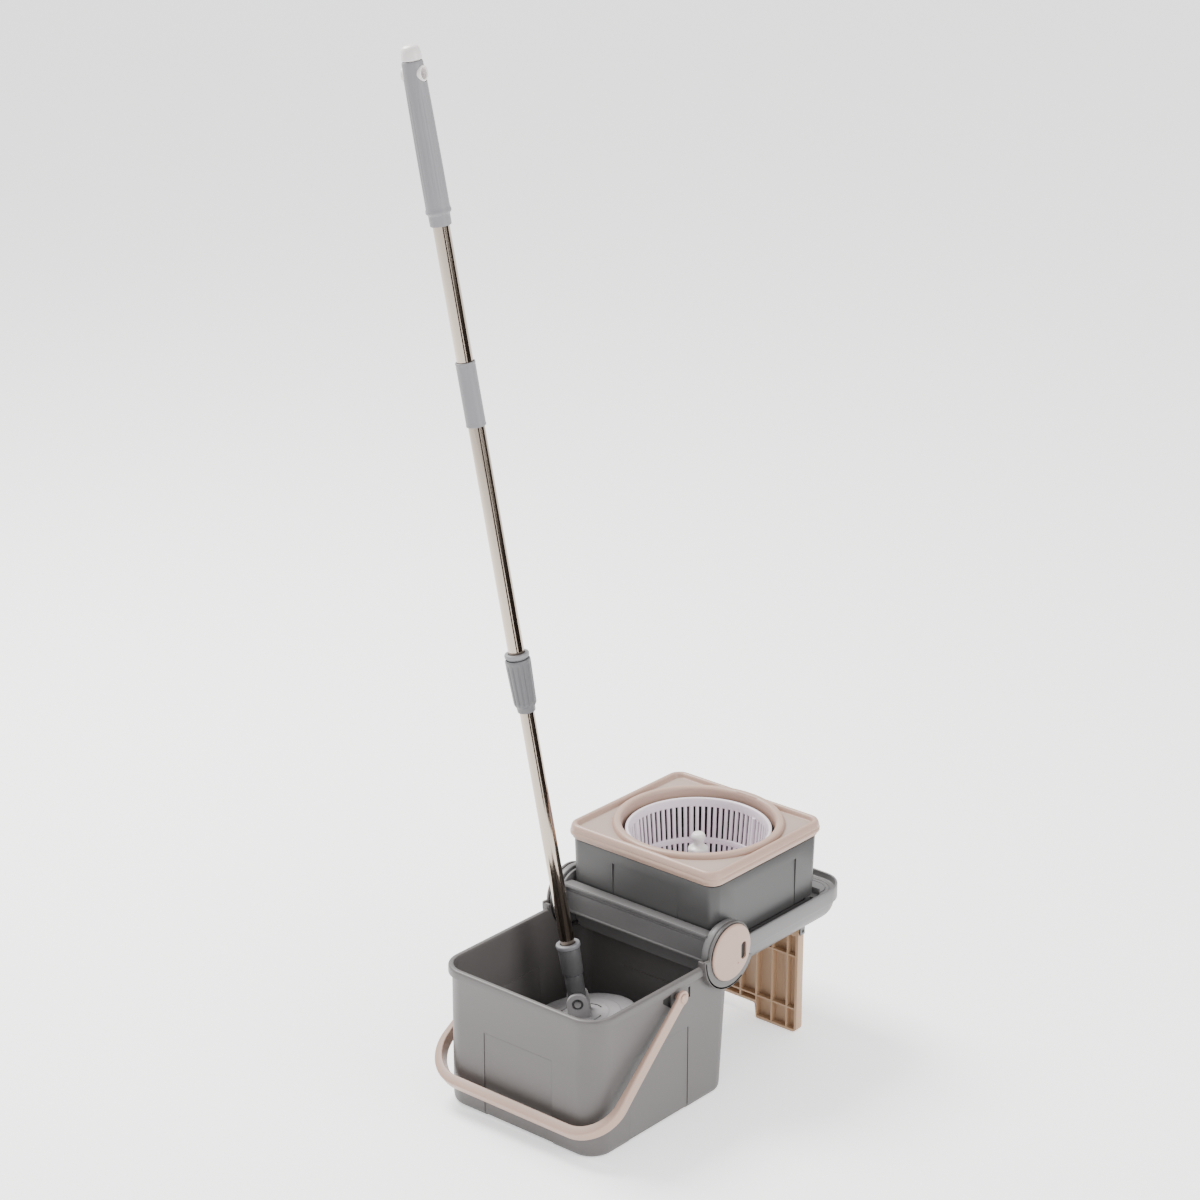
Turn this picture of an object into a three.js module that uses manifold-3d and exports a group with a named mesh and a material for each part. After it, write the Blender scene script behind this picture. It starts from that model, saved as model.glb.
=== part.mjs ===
// Spin mop: a wheel-less bucket with a bail handle, a fold-out tray on hinge discs that carries a
// spin-dry box, and a telescopic mop standing in the bucket. Millimetres, +Z up, +Y towards the tray.
import * as THREE from "three";
import { mergeVertices, toCreasedNormals } from "three/addons/utils/BufferGeometryUtils.js";
import Module from "manifold-3d";

// ---- driving dimensions -------------------------------------------------------------------
const BUCKET = { half: 127.5, front: 0, rearBase: 262, rearTop: 277, rFront: 32, rRear: 26, wall: 3, height: 193.5, rimOut: 5, rimLow: 181.5, floor: 9, rearWallTop: 152 };
const PANEL = { x0: -56.5, x1: 57.5, y0: 68, y1: 182, frontTop: 119.5, sideTop: 118, deep: 0.8, footGap: 4 };
const HINGE = { y: 253, z: 199, disc: 41, boss: 37, notch: 46, web: 50, axle: 8, capR: 38 };
const BAIL = { y: 159, z: 170, half: 135.6, halfWide: 145.8, bend: 51, reach: 215, drop: 37.2, wide: 16.8, thin: 5, thick: 12.8, eye: 9.5 };
const TRAY = { half: 132.5, front: 246, rear: 511, rRear: 37, top: 205, floor: 196, base: 157, wellHalf: 113.5, wellFront: 250, wellRear: 450 };
const BOX = { yc: 350, halfX: 120, halfY: 110, r: 14, top: 286, base: 161, plugX: 111.5, plugY: 97.5 };
const LID = { halfX: 125.5, halfY: 117, r: 21, low: 293, top: 308, ringC: 357, ringOut: 112, ringIn: 100.5 };
const BASKET = { yc: 357, rTop: 94, rBase: 84, top: 296, base: 187 };
const LEG = { half: 109.5, y0: 433, y1: 445, axisY: 439, axisZ: 150, pin: 3, archHalf: 38, archTop: 22, footIn: 43.5 };
const MOP = { pivot: [-44.7, 167.1, 103], lean: [-0.1472, -0.0692, 0.9867], pin: [0.65, -0.76, 0.044], plateR: 74.5, padR: 80 };
const POLE = { lower: 9.5, upper: 10.5, wall: 0.7, socketTop: 80, collarLow: 403, collarTop: 474, ringTop: 482, sleeveLow: 779, sleeveTop: 861, gripLow: 1031, flange: 1046, gripTop: 1231, top: 1250 };
const GAP = 0.3;
const FACETS = 0.6; // share of the nominal facet counts that round faces get
const facets = (n) => Math.max(12, Math.round(n * FACETS));

// ---- solids -------------------------------------------------------------------------------
const wasm = await Module();
wasm.setup();
function solid(geometry) {
  const g = geometry.clone();
  g.deleteAttribute("normal");
  if (g.getAttribute("uv")) g.deleteAttribute("uv");
  const m = mergeVertices(g, 1e-4);
  return new wasm.Manifold(new wasm.Mesh({ numProp: 3, vertProperties: Float32Array.from(m.attributes.position.array), triVerts: Uint32Array.from(m.index.array) }));
}
function geometryOf(man) {
  const mesh = man.getMesh();
  const g = new THREE.BufferGeometry();
  g.setAttribute("position", new THREE.BufferAttribute(Float32Array.from(mesh.vertProperties), 3));
  g.setIndex(new THREE.BufferAttribute(Uint32Array.from(mesh.triVerts), 1));
  return g;
}
const add = (...list) => list.reduce((a, b) => a.add(b));
const cut = (a, ...list) => list.reduce((x, y) => x.subtract(y), a);

// Rounded rectangle ring at height z, counter-clockwise from +X; rf is the corner radius at low y, rr at high y.
function ring(hx, y0, y1, rf, rr, z, n = 5) {
  const pts = [];
  const corner = (cx, cy, r, a0) => {
    for (let i = 0; i <= n; i++) {
      const a = a0 + (Math.PI / 2) * (i / n);
      pts.push([cx + r * Math.cos(a), cy + r * Math.sin(a), z]);
    }
  };
  corner(hx - rf, y0 + rf, rf, -Math.PI / 2);
  corner(hx - rr, y1 - rr, rr, 0);
  corner(-hx + rr, y1 - rr, rr, Math.PI / 2);
  corner(-hx + rf, y0 + rf, rf, Math.PI);
  return pts;
}
const circle = (r, z, cy = 0, n = 48) => Array.from({ length: n }, (_, i) => [r * Math.cos((2 * Math.PI * i) / n), cy + r * Math.sin((2 * Math.PI * i) / n), z]);
// Closed skin through a stack of rings with the same number of points, capped at both ends.
function loft(rings) {
  const n = rings[0].length;
  const pos = [];
  const tri = (a, b, c) => pos.push(...a, ...b, ...c);
  for (let k = 0; k + 1 < rings.length; k++)
    for (let i = 0; i < n; i++) {
      const j = (i + 1) % n, A = rings[k], B = rings[k + 1];
      tri(A[i], A[j], B[j]);
      tri(A[i], B[j], B[i]);
    }
  for (const [R, flip] of [[rings[0], true], [rings[rings.length - 1], false]]) {
    const faces = THREE.ShapeUtils.triangulateShape(R.map((p) => new THREE.Vector2(p[0], p[1])), []);
    for (const [a, b, c] of faces) flip ? tri(R[a], R[c], R[b]) : tri(R[a], R[b], R[c]);
  }
  const g = new THREE.BufferGeometry();
  g.setAttribute("position", new THREE.Float32BufferAttribute(pos, 3));
  return solid(g);
}
// Closed skin through convex sections that follow a path, each anticlockwise round the path's direction.
function sweep(rings) {
  const n = rings[0].length, pos = [];
  const tri = (a, b, c) => pos.push(...a, ...b, ...c);
  for (let k = 0; k + 1 < rings.length; k++)
    for (let i = 0; i < n; i++) {
      const j = (i + 1) % n, A = rings[k], B = rings[k + 1];
      tri(A[i], A[j], B[j]);
      tri(A[i], B[j], B[i]);
    }
  const first = rings[0], last = rings[rings.length - 1];
  for (let i = 1; i + 1 < n; i++) {
    tri(first[0], first[i + 1], first[i]);
    tri(last[0], last[i], last[i + 1]);
  }
  const g = new THREE.BufferGeometry();
  g.setAttribute("position", new THREE.Float32BufferAttribute(pos, 3));
  return solid(g);
}
const box = (x0, x1, y0, y1, z0, z1) => solid(new THREE.BoxGeometry(x1 - x0, y1 - y0, z1 - z0).translate((x0 + x1) / 2, (y0 + y1) / 2, (z0 + z1) / 2));
// Cylinder along X between x0 and x1, round (y, z).
const barX = (r, x0, x1, y, z, n = 48) => solid(new THREE.CylinderGeometry(r, r, x1 - x0, facets(n)).rotateZ(-Math.PI / 2).translate((x0 + x1) / 2, y, z));
const barZ = (r, z0, z1, x = 0, y = 0, n = 48) => solid(new THREE.CylinderGeometry(r, r, z1 - z0, facets(n)).rotateX(Math.PI / 2).translate(x, y, (z0 + z1) / 2));
// Solid of revolution round Z; the profile [radius, height] runs anticlockwise (outside going up).
function turned(profile, count = 48) {
  const n = facets(count);
  const pts = profile.map(([r, z]) => new THREE.Vector2(r, z));
  const g = new THREE.LatheGeometry(pts, n), at = g.attributes.position, m = pts.length;
  for (let i = 0; i < m; i++) at.setXYZ(n * m + i, at.getX(i), at.getY(i), at.getZ(i)); // the last meridian lies exactly on the first
  return g.rotateX(Math.PI / 2);
}
// Plate cut to a (y, z) outline between x0 and x1.
function plateX(points, x0, x1) {
  const s = new THREE.Shape(points.map(([y, z]) => new THREE.Vector2(y, z)));
  const g = new THREE.ExtrudeGeometry(s, { depth: x1 - x0, bevelEnabled: false });
  g.applyMatrix4(new THREE.Matrix4().makeBasis(new THREE.Vector3(0, 1, 0), new THREE.Vector3(0, 0, 1), new THREE.Vector3(1, 0, 0)));
  return solid(g.translate(x0, 0, 0));
}
function sector(R, a0, a1, cy, cz, n = 20, inner = 0) {
  const pts = [];
  for (let i = 0; i <= n; i++) {
    const a = THREE.MathUtils.degToRad(a0 + ((a1 - a0) * i) / n);
    pts.push([cy + R * Math.cos(a), cz + R * Math.sin(a)]);
  }
  if (inner > 0)
    for (let i = n; i >= 0; i--) {
      const a = THREE.MathUtils.degToRad(a0 + ((a1 - a0) * i) / n);
      pts.push([cy + inner * Math.cos(a), cz + inner * Math.sin(a)]);
    }
  else pts.push([cy, cz]);
  return pts;
}
const both = (make) => add(make(1), make(-1));
const sideBox = (s, xa, xb, ...rest) => (s > 0 ? box(xa, xb, ...rest) : box(-xb, -xa, ...rest));
const sideBar = (s, r, xa, xb, ...rest) => (s > 0 ? barX(r, xa, xb, ...rest) : barX(r, -xb, -xa, ...rest));
const sidePlate = (s, pts, xa, xb) => (s > 0 ? plateX(pts, xa, xb) : plateX(pts, -xb, -xa));

const whole = new THREE.Group();
const part = new THREE.Group();
part.name = "spin_mop";
part.add(whole);
const GREY = [0x8e8b88, 0.62, 0], PALE = [0xa3a2a1, 0.55, 0], BEIGE = [0xd7c8bd, 0.5, 0], STEEL = [0xc8c4be, 0.22, 1], WHITE = [0xece6ee, 0.4, 0], DARK = [0x6b6b6c, 0.5, 0], LIGHT = [0xb7b7bb, 0.5, 0];
function put(name, geometry, [color, roughness, metalness], parent = whole) {
  const g = geometryOf(geometry.isBufferGeometry ? solid(geometry) : geometry);
  const m = new THREE.Mesh(toCreasedNormals(g, 0.6), new THREE.MeshStandardMaterial({ color, roughness, metalness }));
  m.name = name;
  parent.add(m);
  return m;
}

// ---- wash bucket ----------------------------------------------------------------------------
function bucketRing(z, inset) {
  const rear = BUCKET.rearBase + ((BUCKET.rearTop - BUCKET.rearBase) * Math.min(z, BUCKET.height)) / BUCKET.height;
  return ring(BUCKET.half - inset, BUCKET.front + inset, rear - inset, Math.max(BUCKET.rFront - inset, 5), Math.max(BUCKET.rRear - inset, 5), z);
}
let bucket = loft([
  bucketRing(0, 6), bucketRing(2, 2.4), bucketRing(7, 0), bucketRing(BUCKET.rimLow, 0), bucketRing(BUCKET.rimLow, -BUCKET.rimOut + 0.8), bucketRing(BUCKET.rimLow + 1, -BUCKET.rimOut),
  bucketRing(BUCKET.height - 2, -BUCKET.rimOut), bucketRing(BUCKET.height, -BUCKET.rimOut + 2), bucketRing(BUCKET.height, 1), bucketRing(BUCKET.height - 1.5, 2.5),
  bucketRing(BUCKET.height - 9, BUCKET.wall), bucketRing(BUCKET.floor + 5, BUCKET.wall + 0.5), bucketRing(BUCKET.floor, BUCKET.wall + 6),
]);
bucket = cut(bucket, box(PANEL.x0, PANEL.x1, -2, PANEL.deep, -1, PANEL.frontTop));
for (const s of [1, -1]) bucket = cut(bucket, sideBox(s, BUCKET.half - PANEL.deep, BUCKET.half + 3, PANEL.y0, PANEL.y1, -1, PANEL.sideTop));
bucket = cut(bucket, box(PANEL.x0, PANEL.x1, -5, 290, -1, PANEL.footGap), box(-140, 140, PANEL.y0, PANEL.y1, -1, PANEL.footGap));
bucket = cut(bucket, barX(HINGE.notch, -140, 140, HINGE.y, HINGE.z, 64), box(-140, 140, HINGE.y, 300, BUCKET.rearWallTop, 240));
for (const s of [1, -1]) {
  bucket = add(
    bucket,
    sidePlate(s, sector(HINGE.web, 180, 300, HINGE.y, HINGE.z, 20, HINGE.notch), 124.5, 137.5),
    sidePlate(s, sector(HINGE.disc, 0, 360, HINGE.y, HINGE.z, 56).slice(0, -2), 133.3, 137.5),
    sidePlate(s, sector(HINGE.web, 178, 335, HINGE.y, HINGE.z, 26), 133.3, 137.5),
    // raised boss and stop block for the bail handle
    sideBar(s, 8, 126, 132.6, BAIL.y, BAIL.z, 32),
    sideBox(s, 125.2, 130, BAIL.y - 10.5, BAIL.y - 9, BAIL.z - 9, BUCKET.rimLow + 1),
  );
  bucket = cut(bucket, sideBar(s, HINGE.axle + GAP, 130, 140, HINGE.y, HINGE.z, 48), sideBar(s, 4.3, 125.4, 140, BAIL.y, BAIL.z, 32));
  // blind recesses under the rim beside the handle pivot
  bucket = cut(bucket, sideBox(s, 125.1, 131, BAIL.y + 22, BAIL.y + 26, BAIL.z - 10.5, BAIL.z + 4), sideBox(s, 125.1, 131, BAIL.y - 27, BAIL.y - 13, BAIL.z - 10, BAIL.z + 5));
}
put("wash_bucket", bucket, GREY);

// ---- hinge caps and axles ---------------------------------------------------------------------
for (const [s, side] of [[1, "right"], [-1, "left"]]) {
  const turn = new THREE.Matrix4().makeRotationY((s * Math.PI) / 2);
  const cap = turned([[0, 0], [HINGE.capR - 0.6, 0], [HINGE.capR, 0.8], [HINGE.capR - 0.4, 2.6], [HINGE.capR - 2.4, 3.7], [0, 3.7]], 64);
  const slot = new THREE.Shape();
  slot.absarc(0, 9, 4.6, 0, Math.PI); slot.absarc(0, -9, 4.6, Math.PI, 2 * Math.PI); slot.closePath();
  const pocket = new THREE.ExtrudeGeometry(slot, { depth: 4, bevelEnabled: false, curveSegments: 10 });
  // the pocket stands upright near the cap's rear edge
  const pm = new THREE.Matrix4().makeBasis(new THREE.Vector3(0, s, 0), new THREE.Vector3(0, 0, 1), new THREE.Vector3(s, 0, 0));
  const pk = solid(pocket.applyMatrix4(pm).translate(s * (137.8 + 2), HINGE.y + 23.5, HINGE.z - 4.5));
  put("hub_cap_" + side, cut(solid(cap.applyMatrix4(turn).translate(s * 137.8, HINGE.y, HINGE.z)), pk), BEIGE);
  const axle = turned([[0, 0], [HINGE.axle - 0.6, 0], [HINGE.axle, 0.6], [HINGE.axle, 17.4], [0, 17.4]], 48);
  put("axle_" + side, axle.applyMatrix4(turn).translate(s * 120, HINGE.y, HINGE.z), DARK);
}

// ---- bail handle --------------------------------------------------------------------------------
{
  const N = 12, L0 = BAIL.reach - BAIL.bend, mid = [[BAIL.half, 0]];
  for (let i = 1; i <= 3; i++) mid.push([BAIL.half + ((BAIL.halfWide - BAIL.half) * i) / 3, (L0 * i) / 3]);
  for (let i = 1; i <= N; i++) {
    const a = ((Math.PI / 2) * i) / N;
    mid.push([BAIL.halfWide - BAIL.bend + BAIL.bend * Math.cos(a), L0 + BAIL.bend * Math.sin(a)]);
  }
  const full = mid.concat(mid.slice().reverse().map(([x, s]) => [-x, s]));
  const d = THREE.MathUtils.degToRad(BAIL.drop);
  const x = new THREE.Vector3(1, 0, 0), along = new THREE.Vector3(0, -Math.cos(d), -Math.sin(d)), up = new THREE.Vector3().crossVectors(x, along);
  // the strap thickens from the pivots towards the grip
  const rings = full.map(([px, ps], i) => {
    const p = full[Math.max(i - 1, 0)], q = full[Math.min(i + 1, full.length - 1)];
    const t = new THREE.Vector2(q[0] - p[0], q[1] - p[1]).normalize();
    const w = BAIL.wide / 2, h = (BAIL.thin + (BAIL.thick - BAIL.thin) * (ps / BAIL.reach) ** 2) / 2, c = 1.2;
    return [[w, -h + c], [w, h - c], [w - c, h], [-w + c, h], [-w, h - c], [-w, -h + c], [-w + c, -h], [w - c, -h]].map(([u, v]) =>
      new THREE.Vector3(0, BAIL.y, BAIL.z).addScaledVector(x, px + t.y * v).addScaledVector(along, ps - t.x * v).addScaledVector(up, u).toArray());
  });
  let handle = sweep(rings);
  for (const s of [1, -1]) {
    handle = add(handle, sideBar(s, BAIL.eye, BAIL.half - 2.5, BAIL.half + 2.5, BAIL.y, BAIL.z, 40));
    // trim the strap's inside edge flush with the eye, then bore it
    handle = cut(handle, sideBox(s, 120, BAIL.half - 2.5, 100, 200, 120, 200), sideBar(s, 4.1, 120, 150, BAIL.y, BAIL.z, 32));
    const name = s > 0 ? "right" : "left";
    const pin = turned([[0, 0], [3.6, 0], [4, 0.4], [4, 12.7], [6.4, 12.7], [6.4, 13.4], [5.2, 14.5], [0, 14.5]], 32);
    put("handle_pin_" + name, pin.applyMatrix4(new THREE.Matrix4().makeRotationY((s * Math.PI) / 2)).translate(s * 125.9, BAIL.y, BAIL.z), BEIGE);
  }
  put("carry_handle", handle, BEIGE);
}

// ---- folding tray ---------------------------------------------------------------------------------
const trayRing = (z, inset, n = 5) => ring(TRAY.half - inset, TRAY.front + Math.min(inset, 3), TRAY.rear - inset, 8, Math.max(TRAY.rRear - inset, 6), z, n);
let tray = loft([trayRing(157, 24), trayRing(158, 18), trayRing(164, 11), trayRing(172, 6), trayRing(183, 3), trayRing(184, 0.2), trayRing(203.5, 0), trayRing(205, 1.2), trayRing(205, 2.6), trayRing(TRAY.floor + 1, 3.2), trayRing(TRAY.floor, 4.4)]);
tray = cut(
  tray,
  loft([ring(TRAY.wellHalf - 1, TRAY.wellFront + 1, TRAY.wellRear - 1, 14, 14, 160, 4), ring(TRAY.wellHalf, TRAY.wellFront, TRAY.wellRear, 14, 14, 210, 4)]),
  box(-100, 100, 462, 486, 150, 192.5),
  sideBox(1, 121, 150, 200, 300, 100, 260), sideBox(-1, 121, 150, 200, 300, 100, 260), box(-123, 123, 240, 262, TRAY.floor, 210),
);
const trayWall = cut(loft([ring(119, 455, 466, 2, 2, 195.5, 1), ring(119, 455, 466, 2, 2, 204.5, 1)]), box(-116, 116, 440, 463, 190, 210));
const beam = plateX([[240, 184.5], [240, 226.5], [225, 226.5], [225, 221.5], [232, 221], [232, 214.5], [230, 214], [230, 187.5], [229, 187], [229, 184.5]], -120.5, 120.5);
tray = add(tray, trayWall, beam, box(-112, 112, 238, 252, 184.5, 190), box(-121, 121, 246, 252, 184.5, TRAY.floor));
for (const s of [1, -1]) {
  tray = add(
    tray,
    sideBar(s, HINGE.boss, 119.5, 124.2, HINGE.y, HINGE.z, 56),
    sideBar(s, HINGE.disc - 0.2, 124, 132.5, HINGE.y, HINGE.z, 56),
    sideBox(s, 120, 132.5, HINGE.y, 306, 168, TRAY.top),
    sideBox(s, 110.3, 112.6, 434, 444, 144.5, 160),
  );
  tray = cut(tray, sideBar(s, HINGE.axle + 0.09, 110, 134, HINGE.y, HINGE.z, 48), sideBar(s, LEG.pin + GAP, 104, 120, LEG.axisY, LEG.axisZ, 24));
}
put("folding_tray", tray, GREY);

// ---- support leg ------------------------------------------------------------------------------------
{
  const { half, y0, y1 } = LEG;
  const outline = new THREE.Shape();
  outline.moveTo(-half, 150); outline.lineTo(-half, 8); outline.absarc(-half + 8, 8, 8, Math.PI, 1.5 * Math.PI);
  outline.lineTo(-LEG.footIn, 0); outline.lineTo(-LEG.archHalf, LEG.archTop); outline.lineTo(LEG.archHalf, LEG.archTop); outline.lineTo(LEG.footIn, 0);
  outline.lineTo(half - 8, 0); outline.absarc(half - 8, 8, 8, 1.5 * Math.PI, 2 * Math.PI); outline.lineTo(half, 150);
  const skin = (inset, ya, yb) => {
    const g = new THREE.ExtrudeGeometry(outline, { depth: yb - ya, bevelEnabled: false, curveSegments: 5 });
    return solid(g.applyMatrix4(new THREE.Matrix4().makeBasis(new THREE.Vector3(1, 0, 0), new THREE.Vector3(0, 0, 1), new THREE.Vector3(0, -1, 0))).translate(0, yb, 0));
  };
  let leg = skin(0, y0, y1);
  // cells open to the front, between ribs of 2.4
  const T = 1.2, cols = [-106, -92, -67, -41, 0, 41, 67, 92, 106], rows = [3, 34, 112, 143];
  for (let c = 0; c + 1 < cols.length; c++)
    for (let r = 0; r + 1 < rows.length; r++) {
      const x0 = cols[c] + T, x1 = cols[c + 1] - T, inner = Math.max(Math.abs(cols[c]), Math.abs(cols[c + 1])) <= 41;
      const z0 = inner && r === 0 ? LEG.archTop + 3 : rows[r] + T, z1 = rows[r + 1] - T;
      leg = cut(leg, box(x0, x1, y0 - 1, y1 - 3, z0, z1));
    }
  leg = add(leg, barX(6, -half, half, LEG.axisY, LEG.axisZ, 24));
  leg = cut(leg, both((s) => sideBar(s, LEG.pin + 0.09, 99, 112, LEG.axisY, LEG.axisZ, 24)));
  put("support_leg", leg, BEIGE);
  for (const [s, side] of [[1, "right"], [-1, "left"]]) {
    const pin = turned([[0, 0], [LEG.pin - 0.4, 0], [LEG.pin, 0.4], [LEG.pin, 12.2], [LEG.pin - 0.4, 12.6], [0, 12.6]], 24);
    put("leg_pin_" + side, pin.applyMatrix4(new THREE.Matrix4().makeRotationY((s * Math.PI) / 2)).translate(s * 100, LEG.axisY, LEG.axisZ), STEEL);
  }
}

// ---- spin-dry box --------------------------------------------------------------------------------------
const boxRing = (hx, hy, r, z, n = 4) => ring(hx, BOX.yc - hy, BOX.yc + hy, r, r, z, n);
let dryBox = loft([
  boxRing(BOX.plugX - 5, BOX.plugY - 5, 9, BOX.base), boxRing(BOX.plugX - 1, BOX.plugY - 1, 12, BOX.base + 4), boxRing(BOX.plugX, BOX.plugY, 12, 198.4), boxRing(117.3, 105.8, 12.5, 198.4), boxRing(118.4, 107, 13, 201),
  boxRing(BOX.halfX, BOX.halfY, BOX.r, BOX.top - 1), boxRing(BOX.halfX - 1, BOX.halfY - 1, BOX.r - 1, BOX.top), boxRing(BOX.halfX - 2.6, BOX.halfY - 2.6, BOX.r - 2.6, BOX.top),
  boxRing(115.2, 103.6, 10.5, 201.5), boxRing(BOX.plugX - 3, BOX.plugY - 3, 9, 201.5), boxRing(BOX.plugX - 4, BOX.plugY - 4, 9, BOX.base + 6), boxRing(BOX.plugX - 8, BOX.plugY - 8, 6, BOX.base + 3),
]);
for (const s of [1, -1]) dryBox = cut(dryBox, cut(sideBox(s, 112, 130, 289, 411, 196, 268), sideBox(s, 110, 117.9, 285, 415, 190, 272)));
dryBox = add(dryBox, barZ(16, BOX.base + 2, BOX.base + 12, 0, BASKET.yc, 32));
dryBox = cut(dryBox, barZ(6.5, BOX.base + 4.5, BOX.base + 20, 0, BASKET.yc, 32));
put("spinner_box", dryBox, GREY);
put("spindle_bush", turned([[4.3, 0], [6.2, 0], [6.2, 7.2], [8, 7.2], [8, 8.6], [4.3, 8.6], [4.3, 0]], 32).translate(0, BASKET.yc, BOX.base + 5), WHITE);
put("basket_spindle", turned([[0, 0], [4.2, 0], [4.2, 12.2], [3.4, 12.6], [3.4, 21], [0, 21]], 32).translate(0, BASKET.yc, BOX.base + 5), STEEL);

// lid: raised border, lowered corners and a raised ring round the opening
const lidRing = (inset, z, n = 5) => ring(LID.halfX - inset, BOX.yc - LID.halfY + inset, BOX.yc + LID.halfY - inset, LID.r - inset, LID.r - inset, z, n);
let lid = loft([lidRing(5.6, LID.low - 5), lidRing(3.4, LID.low - 5), lidRing(3.4, LID.low), lidRing(0.4, LID.low), lidRing(0, LID.low + 2), lidRing(0.6, LID.top - 6), lidRing(2, LID.top - 2), lidRing(4.5, LID.top), lidRing(7, LID.top - 1), lidRing(9, LID.top - 4)]);
lid = cut(lid, loft([lidRing(5.8, LID.low - 6), lidRing(5.8, LID.low + 8)]));
lid = add(lid, solid(turned([[LID.ringIn, LID.low - 4], [LID.ringIn + 2.5, LID.low - 4], [LID.ringIn + 2.5, LID.low + 8], [LID.ringOut, LID.low + 8], [LID.ringOut, LID.top - 4], [LID.ringOut - 2.5, LID.top - 1], [LID.ringOut - 5.5, LID.top], [LID.ringOut - 8.5, LID.top - 1], [LID.ringIn, LID.top - 5], [LID.ringIn, LID.low - 4]], 72).translate(0, LID.ringC, 0)));
lid = cut(lid, barZ(LID.ringIn, LID.low - 8, LID.top + 5, 0, LID.ringC, 72));
put("spinner_lid", lid, BEIGE);

// ---- spin basket ---------------------------------------------------------------------------------------
{
  const { yc, rTop, rBase, top, base } = BASKET;
  const rAt = (z) => rBase + ((rTop - rBase) * (z - base)) / (top - base);
  let basket = solid(turned([[0, base], [rBase - 2, base], [rBase, base + 2], [rTop, top - 4], [rTop + 2, top - 4], [rTop + 2, top - 1], [rTop + 1, top], [rTop - 2, top], [rTop - 2.4, top - 3], [rBase - 2.4, base + 4], [rBase - 4, base + 2.4], [0, base + 2.4]], 72).translate(0, yc, 0));
  const slots = 24;
  const tools = [];
  for (let i = 0; i < slots; i++) {
    const a = (2 * Math.PI * (i + 0.5)) / slots;
    for (const [z0, z1] of [[241, 284], [206, 233]]) {
      const g = new THREE.BoxGeometry(26, 7.5, z1 - z0).translate(rAt((z0 + z1) / 2), 0, (z0 + z1) / 2).rotateZ(a).translate(0, yc, 0);
      tools.push(solid(g));
    }
  }
  basket = cut(basket, add(...tools));
  basket = add(basket, barZ(12, base - 6, base + 4, 0, yc, 32));
  basket = cut(basket, barZ(3.5, base - 10, base + 10, 0, yc, 32));
  put("spin_basket", basket, WHITE);
  put("basket_post", turned([[0, 4.6], [3, 4.6], [3, 4.3], [24, 4.3], [21, 9], [14, 24], [11.5, 60], [13.5, 78], [9, 82], [6.5, 86], [7.5, 92], [9.5, 96], [7, 100.5], [0, 101.5]].map(([r, z]) => [r, z]), 40).translate(0, yc, base), WHITE);
}

// ---- mop --------------------------------------------------------------------------------------------------
const n = new THREE.Vector3(...MOP.lean).normalize();
const p = new THREE.Vector3(...MOP.pin).addScaledVector(n, -new THREE.Vector3(...MOP.pin).dot(n)).normalize();
const mop = new THREE.Group(); // local: Z up the pole, X along the yoke pin, origin at the yoke pin
mop.matrixAutoUpdate = false;
mop.matrix.makeBasis(p, new THREE.Vector3().crossVectors(n, p), n).setPosition(...MOP.pivot);
whole.add(mop);
const onMop = (name, g, m) => put(name, g, m, mop);

// head plate with two yoke ears, concentric steps on its top
let plate = solid(turned([[0, -29.5], [MOP.plateR - 1.5, -29.5], [MOP.plateR, -28.5], [MOP.plateR - 0.5, -26.5], [52, -24], [50, -22.6], [36, -21.6], [34, -20], [24, -19.4], [0, -19.4]], 64));
for (const s of [1, -1]) {
  const ear = new THREE.Shape();
  ear.moveTo(-14.3, -21); ear.lineTo(14.3, -21); ear.lineTo(14.3, 0); ear.absarc(0, 0, 14.3, 0, Math.PI); ear.closePath();
  const g = new THREE.ExtrudeGeometry(ear, { depth: 6, bevelEnabled: false, curveSegments: 16 });
  g.applyMatrix4(new THREE.Matrix4().makeBasis(new THREE.Vector3(0, 1, 0), new THREE.Vector3(0, 0, 1), new THREE.Vector3(1, 0, 0)));
  plate = add(plate, solid(g.translate(s > 0 ? 9.5 : -15.5, 0, 0)));
}
plate = cut(plate, barX(3.3, -30, 30, 0, 0, 24), barX(7.6, 13.5, 17, 0, 0, 32), barX(7.6, -17, -13.5, 0, 0, 32));
onMop("mop_plate", plate, GREY);
onMop("yoke_pin", turned([[0, 0], [3, 0], [3, 23.6], [4.5, 23.6], [4.5, 25.4], [0, 25.4]], 24).rotateY(Math.PI / 2).translate(-10, 0, 0), STEEL);
onMop("microfibre_pad", turned([[0, -66], [46, -66], [66, -60], [76, -48], [MOP.padR, -38], [MOP.padR - 1, -32], [MOP.padR - 5, -29.8], [0, -29.8]], 48), WHITE);
// neck with a flat blade between the ears
let neck = add(barX(11, -9.1, 9.1, 0, 0, 40), barZ(12, 4, 38.6, 0, 0, 40).intersect(add(box(-9.1, 9.1, -20, 20, 0, 15), box(-20, 20, -20, 20, 14.5, 50))));
neck = add(neck, barZ(6, 38, 60, 0, 0, 24));
neck = cut(neck, barX(3.09, -12, 12, 0, 0, 24));
onMop("mop_neck", neck, DARK);
onMop("mop_socket", cut(solid(turned([[0, 39], [13.2, 39], [14, 40], [14.4, 75.2], [9.8, 75.2], [9.8, 62], [0, 62]], 40)), barZ(6.3, 38, 61, 0, 0, 24)), DARK);
onMop("socket_ring", turned([[9.9, 75.5], [15, 75.5], [16, 77], [16, 80.5], [14.8, 82], [9.9, 82], [9.9, 75.5]], 48), LIGHT);
onMop("lower_tube", turned([[8.8, 62.4], [9.5, 62.4], [9.5, 559.7], [8.8, 559.7], [8.8, 62.4]], 40), STEEL);

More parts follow.
